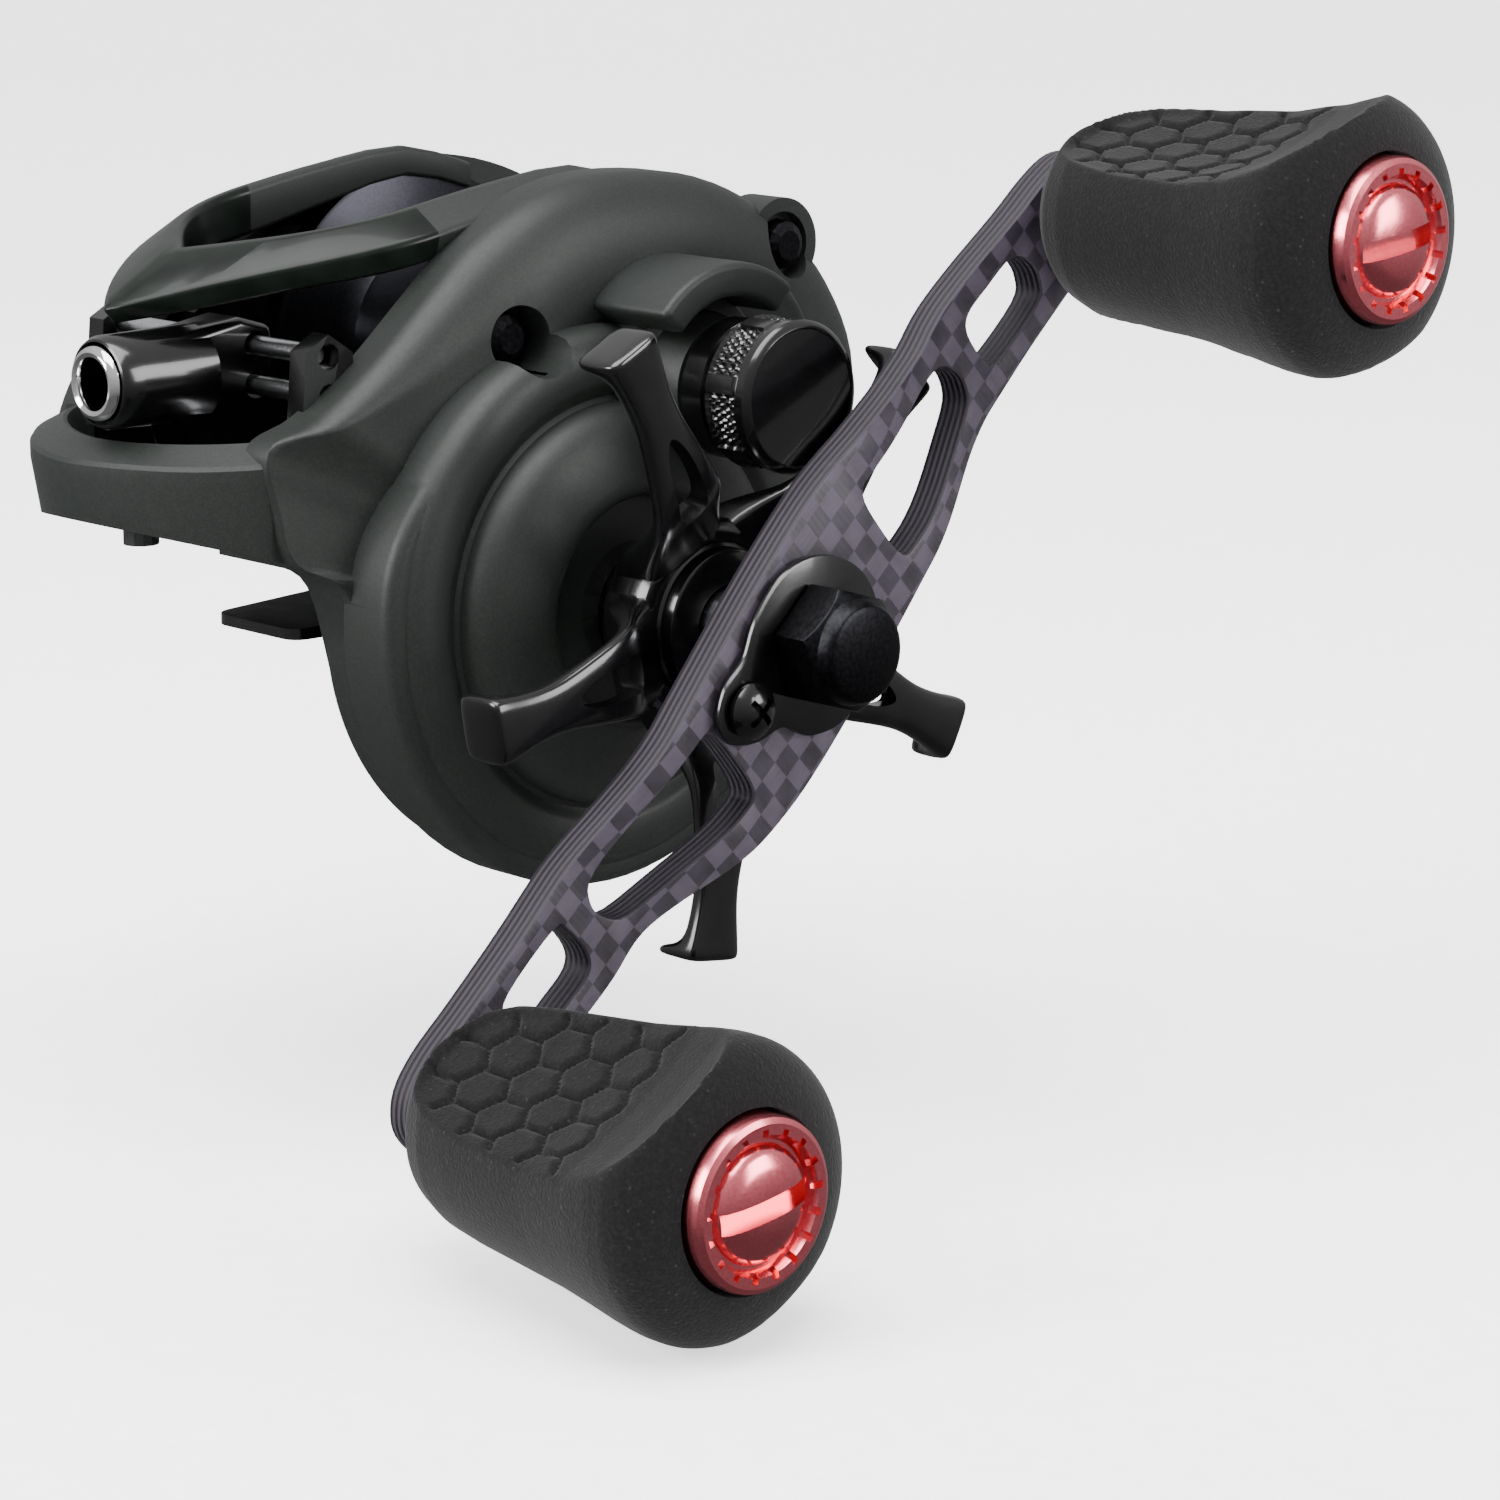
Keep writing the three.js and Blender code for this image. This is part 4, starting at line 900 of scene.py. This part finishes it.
def carriage():
    body = slab([(-35.6, 11.0), (-29.2, 11.0), (-28.8, 18.0), (-28.8, 28.4), (-32.4, 29.4), (-39.9, 28.2),
                 (-39.9, 21.6)], -2.8, 2.8)
    soften(body, 0.8, 3, 30)
    tube = towards_nose(lathe([(36, 0), (36, 4.4), (44, 4.2), (45.6, 4.2), (46.2, 3.9), (46.4, 3.5), (46.4, 0)]))
    bores = [disc(2.55, -9, 9, -32.6, 13.8), *[disc(1.25, -9, 9, ROD_Y, z, sides=32) for z in ROD_HEIGHTS]]
    return combine(body, weld=[tube], cut=[
        towards_nose(disc(2.5, 20, 50)), towards_nose(disc(3.7, 44.8, 50)), *bores])


def guide_ring():
    return towards_nose(lathe([
        (45.1, 2.25), (45.1, 3.35), (46.4, 3.4), (46.8, 3.2), (47.05, 2.8), (46.9, 2.4), (46.4, 2.2)],
        ring=True, steps=64))


finished(carriage(), "guide_carriage", "carriage", [BLACK_LACQUER], ["line_guide_carriage"])
finished(guide_ring(), "guide_ring", "carriage", [CHROME], ["line_guide_ring"])

# %% [markdown]
# ## Star wheel
# Five arms, cast in one piece with the hub, set the drag. Each arm rises from the hub, thins
# and ends in a folded tab. A face is extruded from station to station along the arm, and a
# subdivision surface turns the stations into one flowing shape. A long slot lightens each root.

# %% Star arms
ARM_STATIONS = [  # (radius, width, inner x, outer x)
    (5.0, 10.2, 30.7, 36.4), (8.6, 9.8, 31.4, 37.6), (11.3, 9.0, 35.4, 39.6), (13.2, 8.2, 39.5, 41.1),
    (18.5, 6.0, 39.4, 41.4), (22.5, 4.4, 39.4, 41.5), (25.6, 4.8, 39.4, 41.6), (28.4, 5.8, 39.4, 41.7),
    (28.9, 6.1, 36.6, 41.7), (29.4, 6.1, 36.4, 41.7), (29.9, 5.8, 36.5, 41.5)]


def star_arm():
    rings = []
    for radius, width, x0, x1 in ARM_STATIONS:
        half, cut = width / 2, 0.55
        corners = [(x0, half - cut), (x0 + cut, half), (x1 - cut, half), (x1, half - cut)]
        rings.append([(x, y, radius) for x, y in corners] + [(x, -y, radius) for x, y in reversed(corners)])
    arm = refined(sweep(rings), 2)
    slot = smooth_outline([(-1.5, 12.0), (1.5, 12.0), (1.7, 14.5), (1.2, 18.4), (0, 20.4), (-1.2, 18.4),
                           (-1.7, 14.5)])
    return combine(arm, cut=[slab(slot, 28, 46)])


def star_wheel():
    hub = lathe([(30.6, 0), (30.6, 7.6), (31.2, 8.4), (33.0, 9.3), (36.2, 9.4), (36.9, 9.1), (37.2, 8.4),
                 (37.2, 7.6), (37.0, 7.3), (37.2, 7.0), (38.3, 6.8), (38.6, 6.4), (38.6, 0)])
    arms = ring_of(star_arm, 5, (0, 0), first=45.6 - 90)
    wheel = combine(hub, weld=[arms], cut=[disc(3.75, 25, 50)])
    return shifted(wheel, 0, *DRIVE)


finished(star_wheel(), "star_wheel", "star", [BLACK_LACQUER], ["star_drag"], crease=40)

# %% [markdown]
# ## Handle
# The handle is a cranked plate with two windows in each half. It is drawn flat in its own
# directions, cut through, sliced every millimetre so that it can bend, and the middle is then
# pushed out to form the crank. Its rims are eased, and faces that look outwards carry the
# weave, while every cut face carries the edges of the plies.

# %% Handle plate
HANDLE_STATIONS = [  # (along, left edge, right edge)
    (0, 8.6, -8.6), (8, 9.2, -7.6), (13, 9.0, -6.9), (18, 8.2, -6.2), (24, 6.6, -5.5), (28.5, 5.8, -5.2),
    (33, 6.2, -5.0), (38, 6.0, -4.8), (45, 5.3, -4.8), (50, 5.0, -4.9), (53.5, 4.2, -4.2), (55.7, 2.3, -2.3)]
BIG_WINDOW = [(12.8, -3.2), (15, -3.9), (22, -3.6), (28.4, -2.7), (30.2, -1.0), (30.2, 1.2), (28.4, 3.3),
              (22, 4.3), (15.4, 5.1), (13.2, 4.6), (12.6, 1.0)]
SMALL_WINDOW = [(34.4, -2.5), (41.4, -2.6), (43.2, -1.2), (43.4, 1.2), (42.0, 3.2), (38, 3.6), (34.8, 3.6),
                (33.5, 2.2), (33.4, -1.2)]
HANDLE_X = 42.0
HANDLE_THICK = 3.5
CRANK = 3.3
DRIVE_BORE, SCREW_BORE = 3.7, 1.5
SCREW = (-9.3, 2.4)  # of the nut's retainer, along and across the handle


def along_handle(bm):
    """Turns a piece drawn with y along the handle and z across it to its place."""
    return shifted(turned(bm, HANDLE_TILT, "X"), 0, *DRIVE)


def crank_share(distance):
    """How far out of its plane the plate is at a distance from the hub: 1 at the hub, 0 at the end."""
    return blend(31.5 - abs(distance), 0, 16.5)


def handle_plate():
    left = [(-u, -right) for u, _, right in reversed(HANDLE_STATIONS[1:])]
    left += [(u, edge) for u, edge, _ in HANDLE_STATIONS]
    right = [(-u, -edge) for u, edge in left]
    outline = smooth_outline([(-56.3, 0), *left, (56.3, 0), *right], 4)
    windows = []
    for side in (1, -1):
        for window in (BIG_WINDOW, SMALL_WINDOW):
            windows.append(slab(smooth_outline([(side * u, side * v) for u, v in window], 4), 38, 54))
        windows.append(disc(2.7, 38, 54, side * KNOB_REACH, 0))
    plate = combine(slab(outline, HANDLE_X, HANDLE_X + HANDLE_THICK),
                    cut=[*windows, disc(DRIVE_BORE, 38, 54), disc(SCREW_BORE, 38, 54, *SCREW, sides=24)])
    soften(plate, 0.35, 2, 50, lambda edge: abs(edge.verts[0].co.x - edge.verts[1].co.x) < 0.01)
    for step in range(-33, 34):
        bmesh.ops.bisect_plane(plate, geom=plate.verts[:] + plate.edges[:] + plate.faces[:],
                               plane_co=(0, step, 0), plane_no=(0, 1, 0))
    plies = plate.loops.layers.uv.new("plies")
    for face in plate.faces:
        for loop in face.loops:
            loop[plies].uv = (loop.vert.co.y * MM, loop.vert.co.x * MM)
    for vert in plate.verts:
        vert.co.x += CRANK * crank_share(vert.co.y)
    for face in plate.faces:
        face.material_index = int(abs(face.normal.x) < 0.9)
    return along_handle(plate)


finished(handle_plate(), "handle_plate", "handle", [CARBON_WEAVE, CARBON_EDGE], ["handle_arm"])

# %% [markdown]
# ## Handle nut, its retainer and screw
# A hexagon nut with a rounded end holds the handle, a thin lacquered plate keeps the nut from
# turning, and a cross-slot screw holds the plate. The hexagon's corners are turned off by
# keeping only what a lathe profile shares with it.

# %% Nut, retainer and screw
HUB_X = HANDLE_X + CRANK + HANDLE_THICK
PLATE_X = (HUB_X + 0.3, HUB_X + 1.1)


def handle_nut():
    hexagon = [on_circle((0, 0), 10 / math.sqrt(3), 60 * i) for i in range(6)]
    rounded = lathe([(40, 0), (40, 6.3), (53.2, 6.3), (54.2, 5.2), (54.5, 4.7), (55.4, 4.5), (55.8, 4.2),
                     (56.0, 3.7), (56.0, 0)])
    nut = combine(slab(hexagon, PLATE_X[1] + 0.3, 56), common=[rounded])
    return along_handle(soften(nut, 0.18, 2, 25))


def nut_retainer():
    outline = smooth_outline([
        (-11.9, 0.6), (-10.2, -0.9), (-7.6, -2.2), (-6.2, -5.2), (-2.8, -7.5), (2.0, -7.7), (6.2, -4.8), (8.0, 0),
        (6.2, 4.9), (2.0, 7.7), (-3.0, 7.5), (-6.6, 6.0), (-9.6, 5.9), (-12.2, 4.4), (-12.8, 2.4)], 5)
    plate = soften(slab(outline, *PLATE_X), 0.25, 2, 60)
    return along_handle(combine(plate, cut=[disc(DRIVE_BORE, 40, 60), disc(SCREW_BORE, 40, 60, *SCREW, sides=24)]))


def cross_screw():
    top = PLATE_X[1]
    head = lathe([(46.2, 0), (46.2, 1.2), (top + 0.3, 1.2), (top + 0.3, 2.4), (top + 0.8, 2.5), (top + 1.5, 1.9),
                  (top + 1.85, 1.0), (top + 1.9, 0)], *SCREW, steps=48)
    arms = [slab([(SCREW[0] + y * dy, SCREW[1] + z * dz) for dy, dz in ((-1, -1), (1, -1), (1, 1), (-1, 1))],
                 top + 1.0, 60) for y, z in ((1.5, 0.3), (0.3, 1.5))]
    return along_handle(combine(head, cut=arms))


finished(handle_nut(), "handle_nut_hex", "handle", [BLACK_OXIDE], ["handle_nut"])
finished(nut_retainer(), "retainer_plate", "handle", [BLACK_LACQUER], ["nut_retainer"])
finished(cross_screw(), "retainer_screw_head", "handle", [BLACK_LACQUER], ["retainer_screw"])

# %% [markdown]
# ## Foam knobs
# Each knob starts as a turned shape that widens towards its cap. Two opposite thumb scoops are
# ground into it, so each one is a flat that fades into the round near the handle and runs out
# at a sharp corner beside the cap. A pattern of long hexagons is pressed into the scoops. The
# turned mesh is fine enough to move its points: first onto the scoop, then down into the
# grooves between hexagons.

# %% Knob shape
KNOB_PROFILE = [  # (x, radius)
    (46.6, 5.4), (46.9, 6.6), (47.6, 7.7), (49.0, 8.9), (51.5, 9.8), (55.0, 10.3), (60.0, 10.8), (66.0, 11.4),
    (70.0, 12.0), (73.0, 12.5), (75.4, 12.8), (77.3, 12.8), (78.5, 12.4), (79.5, 11.6), (80.3, 10.3), (80.9, 8.9),
    (81.1, 7.7)]
SCOOP_DEPTH = [  # (x, distance of the scoop from the knob's axis)
    (46.0, 7.9), (50.0, 7.6), (58.0, 7.2), (66.0, 7.4), (72.0, 8.4), (76.0, 9.6), (79.0, 10.9), (82.0, 12.8)]
CELL = 2.1  # half the width of a hexagon across the knob
STRETCH = 1.2  # hexagons are longer along the knob
GROOVE = 0.6
GROOVE_HALF_WIDTH = 0.42
PATTERN_END = 70.5  # the x where the hexagons stop
SKIN = 8.2  # points further out than this belong to the outer skin


def between(table, x):
    """A straight-line reading between the rows of a table of (x, value)."""
    for (x0, a), (x1, b) in zip(table, table[1:]):
        if x <= x1:
            return a + (b - a) * share_of(x, x0, x1)
    return table[-1][1]


def hexagon_edge(along, across):
    """Distance to the nearest side of a hexagon pattern with cells 2 x CELL wide."""
    u, v = along / STRETCH / (2 * CELL), across / (2 * CELL)
    wide = math.sqrt(3)
    offsets = [(((u / wide - shift) % 1 - 0.5) * wide, (v - shift) % 1 - 0.5) for shift in (0, 0.5)]
    du, dv = (abs(offset) for offset in min(offsets, key=lambda pair: math.hypot(*pair)))
    return (0.5 - max(dv, dv * 0.5 + du * wide / 2)) * 2 * CELL


def off_axis(vert):
    return math.hypot(vert.co.y, vert.co.z)


def skin_past(knob, x):
    return [vert for vert in knob.verts if vert.co.x > x and off_axis(vert) > SKIN]


def even_out(knob, verts):
    """Draws each of the points halfway to the middle of its neighbours."""
    bmesh.ops.smooth_vert(knob, verts=verts, factor=0.5, use_axis_x=True, use_axis_y=True, use_axis_z=True)


def foam_knob(scoop_angle):
    fine = []
    for (x0, a), (x1, b) in zip(KNOB_PROFILE, KNOB_PROFILE[1:]):
        steps = max(1, round(abs(x1 - x0) / 0.3))
        fine += [(x0 + (x1 - x0) * i / steps, a + (b - a) * i / steps) for i in range(steps)]
    knob = lathe(fine + [(81.1, 7.7), (79.0, 7.7), (79.0, 2.9), (46.6, 2.9)], steps=180, ring=True)
    for _ in range(2):
        even_out(knob, skin_past(knob, 0))
    turn = Matrix.Rotation(math.radians(scoop_angle), 3, "X")
    across = turn @ Vector((0, 0, 1))
    for side in (1, -1):
        out = side * (turn @ Vector((0, 1, 0)))
        for vert in knob.verts:
            depth = vert.co.dot(out) - between(SCOOP_DEPTH, vert.co.x)
            if depth <= 0 or off_axis(vert) < 7.75:
                continue
            sideways = vert.co.dot(across)
            hollow = 0.012 * (7.5 ** 2 - min(sideways ** 2, 7.5 ** 2)) * min(depth / 0.8, 1)
            groove = 0
            if vert.co.x < PATTERN_END and depth > 0.5:
                edge = hexagon_edge(vert.co.x - 50, sideways)
                groove = GROOVE * max(0, 1 - edge / GROOVE_HALF_WIDTH)
            vert.co -= out * (depth + hollow + groove)
    ridge = skin_past(knob, 71)
    for _ in range(2):
        even_out(knob, ridge)
    return knob


# %% Cap
def knob_cap():
    """A bright cap: flat rim with a ring of notches, a groove, a low dome and a coin slot."""
    body = lathe([(78.9, 0), (78.9, 7.3), (81.8, 7.3), (82.3, 7.15), (82.6, 6.7), (82.6, 5.8), (82.1, 5.5),
                  (81.6, 5.3), (81.6, 5.0), (82.2, 4.75), (82.7, 4.2), (83.1, 3.0), (83.3, 1.5), (83.35, 0)],
                 steps=120)
    notches = ring_of(lambda: slab([(-0.32, 5.2), (0.32, 4.9), (0.32, 6.3), (-0.32, 6.3)], 82.0, 85), 17, (0, 0))
    slot = slab([(-4.6, -0.9), (4.6, -0.9), (4.6, 0.9), (-4.6, 0.9)], 81.3, 85)
    return combine(body, cut=[notches, turned(slot, math.radians(8), "X")])


for where, side, scoop_angle in (("front", -1, 122), ("back", 1, 108)):
    centre = (0, DRIVE[0] + side * KNOB_REACH * math.cos(HANDLE_TILT),
              DRIVE[1] + side * KNOB_REACH * math.sin(HANDLE_TILT))
    for shape, name, material, node, slot_name in (
            (foam_knob(scoop_angle), "foam", EVA_FOAM, "knob", "eva_foam"),
            (knob_cap(), "cap_disc", ROSE_ANODISED, "knob_cap", "rose_anodised")):
        finished(shifted(shape, *centre), f"{where}_{name}", f"{where}_grip", [material], [f"{where}_{node}"],
                 crease=50 if name == "foam" else 30)


# %% [markdown]
# ## Tension knob
# This small knob sets the spool's end play. Its face is polished with a fine bevel, and its
# rim has bands of diamond knurling between flat tabs. The rim is a fine lathe mesh, and its
# points are pulled in along two crossing families of spiral lines.

# %% Tension knob
KNURL_X = (33.6, 36.8)
RIM = 6.95


def tension_knob():
    rows = [(KNURL_X[0] + (KNURL_X[1] - KNURL_X[0]) * i / 14, RIM) for i in range(15)]
    body = lathe([(29.5, 3.1), (29.5, 6.0), (29.9, 6.4), (32.4, 6.4), (32.6, 6.0), (33.2, 6.0), (33.4, 6.6),
                  *rows, (37.0, 6.6), (37.3, 6.6), (37.5, 6.95), (38.3, 6.95), (38.7, 6.7), (38.9, 6.3),
                  (38.75, 6.1), (38.75, 5.9), (38.75, 0), (37.0, 0), (37.0, 3.1)], steps=288, ring=True)
    for vert in body.verts:
        if not KNURL_X[0] < vert.co.x < KNURL_X[1] or off_axis(vert) < 6.5:
            continue
        turn = math.degrees(math.atan2(vert.co.z, vert.co.y))
        if (turn + 20) % 60 < 14:
            continue
        lines = [abs(((turn / 6 + slant * (vert.co.x - KNURL_X[0]) / 1.1) % 1) - 0.5) for slant in (0.9, -0.9)]
        sink = 0.35 * (1 - 2 * min(lines)) + 0.1
        vert.co.yz *= 1 - sink / RIM
    return shifted(body, 0, *SPOOL)


finished(tension_knob(), "tension_knob_turned", "tension_control", [BLACK_LACQUER], ["tension_knob"])

# %% [markdown]
# ## Finishes on the pieces that stay
# Gears, shafts, bearings and washers keep their CAD shape and get the finish of their metal.

# %% Dress the CAD nodes
NODE_FINISH = {
    GEAR_BRASS: ["main_gear", "pinion", "level_wind_drive_gear", "idler_gear", "worm_gear"],
    GROUND_STEEL: ["drive_shaft", "spool_shaft", "worm_shaft", "palm_side_bearing", "handle_side_bearing",
                   "drag_pressure_plate", "front_knob_spindle", "back_knob_spindle", "front_foot_screw",
                   "rear_foot_screw"],
    BLACK_OXIDE: ["anti_reverse_bearing", "drag_spring_washer", "clutch_yoke", "ratchet_wheel",
                  "front_side_plate_screw", "rear_side_plate_screw"],
    SPOOL_ANODISED: ["brake_ring"],
    FRICTION_CLOTH: ["carbon_drag_washer"],
}
for material, names in NODE_FINISH.items():
    for name in names:
        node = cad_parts[name]
        if not node.material_slots:
            node.data.materials.append(material)
        for material_slot in node.material_slots:
            material_slot.material = material
print("dressed", sum(len(names) for names in NODE_FINISH.values()), "nodes")


# %% [markdown]
# ## Floor and light
# The floor sweeps up behind the reel in one curve, so no horizon shows. Three square soft
# panels light the reel: one above, one to the left of the lens and one to its right. A dim
# surround, paler towards the top, fills the rest and shades the metal from top to bottom.

# %% Floor
def sweep_floor():
    bm = bmesh.new()
    floor_z = cad_box[0][2] - 0.001
    path = [(-1.5, 0), (0.6, 0), (0.85, 0.02), (1.05, 0.1), (1.2, 0.26), (1.26, 0.5), (1.28, 2.5)]
    verts = [bm.verts.new((-3, away, floor_z + rise)) for away, rise in path]
    edges = [bm.edges.new(pair) for pair in zip(verts, verts[1:])]
    grown = bmesh.ops.extrude_edge_only(bm, edges=edges)["geom"]
    moved = [item for item in grown if isinstance(item, bmesh.types.BMVert)]
    bmesh.ops.translate(bm, verts=moved, vec=(6, 0, 0))
    mesh = as_mesh(turned(bm, math.radians(CAMERA_AZIMUTH), "Z"), "floor")
    mesh.shade_smooth()
    floor = new_object("floor", mesh)
    material, _, shader, _ = speckled("pale_paper", "#F4F4F4", "#FAFAFA", 2.0, 0.01, roughness=0.9)
    shader.inputs["Emission Color"].default_value = (1, 1, 1, 1)
    shader.inputs["Emission Strength"].default_value = 1.05
    mesh.materials.append(material)
    floor.visible_glossy = False  # lacquer and metal show the soft panels and not the white sweep


sweep_floor()


# %% Lights
def add_panel(name, azimuth, elevation, distance, size, power):
    """A square soft light that faces the reel; azimuth is measured as for the camera."""
    light = bpy.data.lights.new(name, "AREA")
    light.size = size
    light.energy = power
    panel = new_object(name, light)
    a, e = math.radians(azimuth), math.radians(elevation)
    away = Vector((math.sin(a) * math.cos(e), -math.cos(a) * math.cos(e), math.sin(e)))
    panel.location = Vector((0.02, 0, 0)) + away * distance
    panel.rotation_euler = away.to_track_quat("Z", "Y").to_euler()


add_panel("panel_above", CAMERA_AZIMUTH - 20, 74, 0.8, 0.75, 17)
add_panel("panel_left", CAMERA_AZIMUTH - 62, 24, 0.8, 0.4, 9)
add_panel("panel_right", CAMERA_AZIMUTH + 70, 20, 0.9, 0.45, 7)
world = bpy.data.worlds.new("studio")
bpy.context.scene.world = world
world.use_nodes = True
sky = world.node_tree.nodes["Background"]
sky.inputs["Color"].default_value = linear("#F4F4F4")
upwards = add_node(world.node_tree, "ShaderNodeSeparateXYZ", {
    "Vector": add_node(world.node_tree, "ShaderNodeTexCoord").outputs["Generated"]})
glow = add_node(world.node_tree, "ShaderNodeMapRange", {
    "Value": upwards.outputs["Z"], "From Min": -0.5, "From Max": 0.7, "To Min": 0.16, "To Max": 0.95})
world.node_tree.links.new(glow.outputs["Result"], sky.inputs["Strength"])
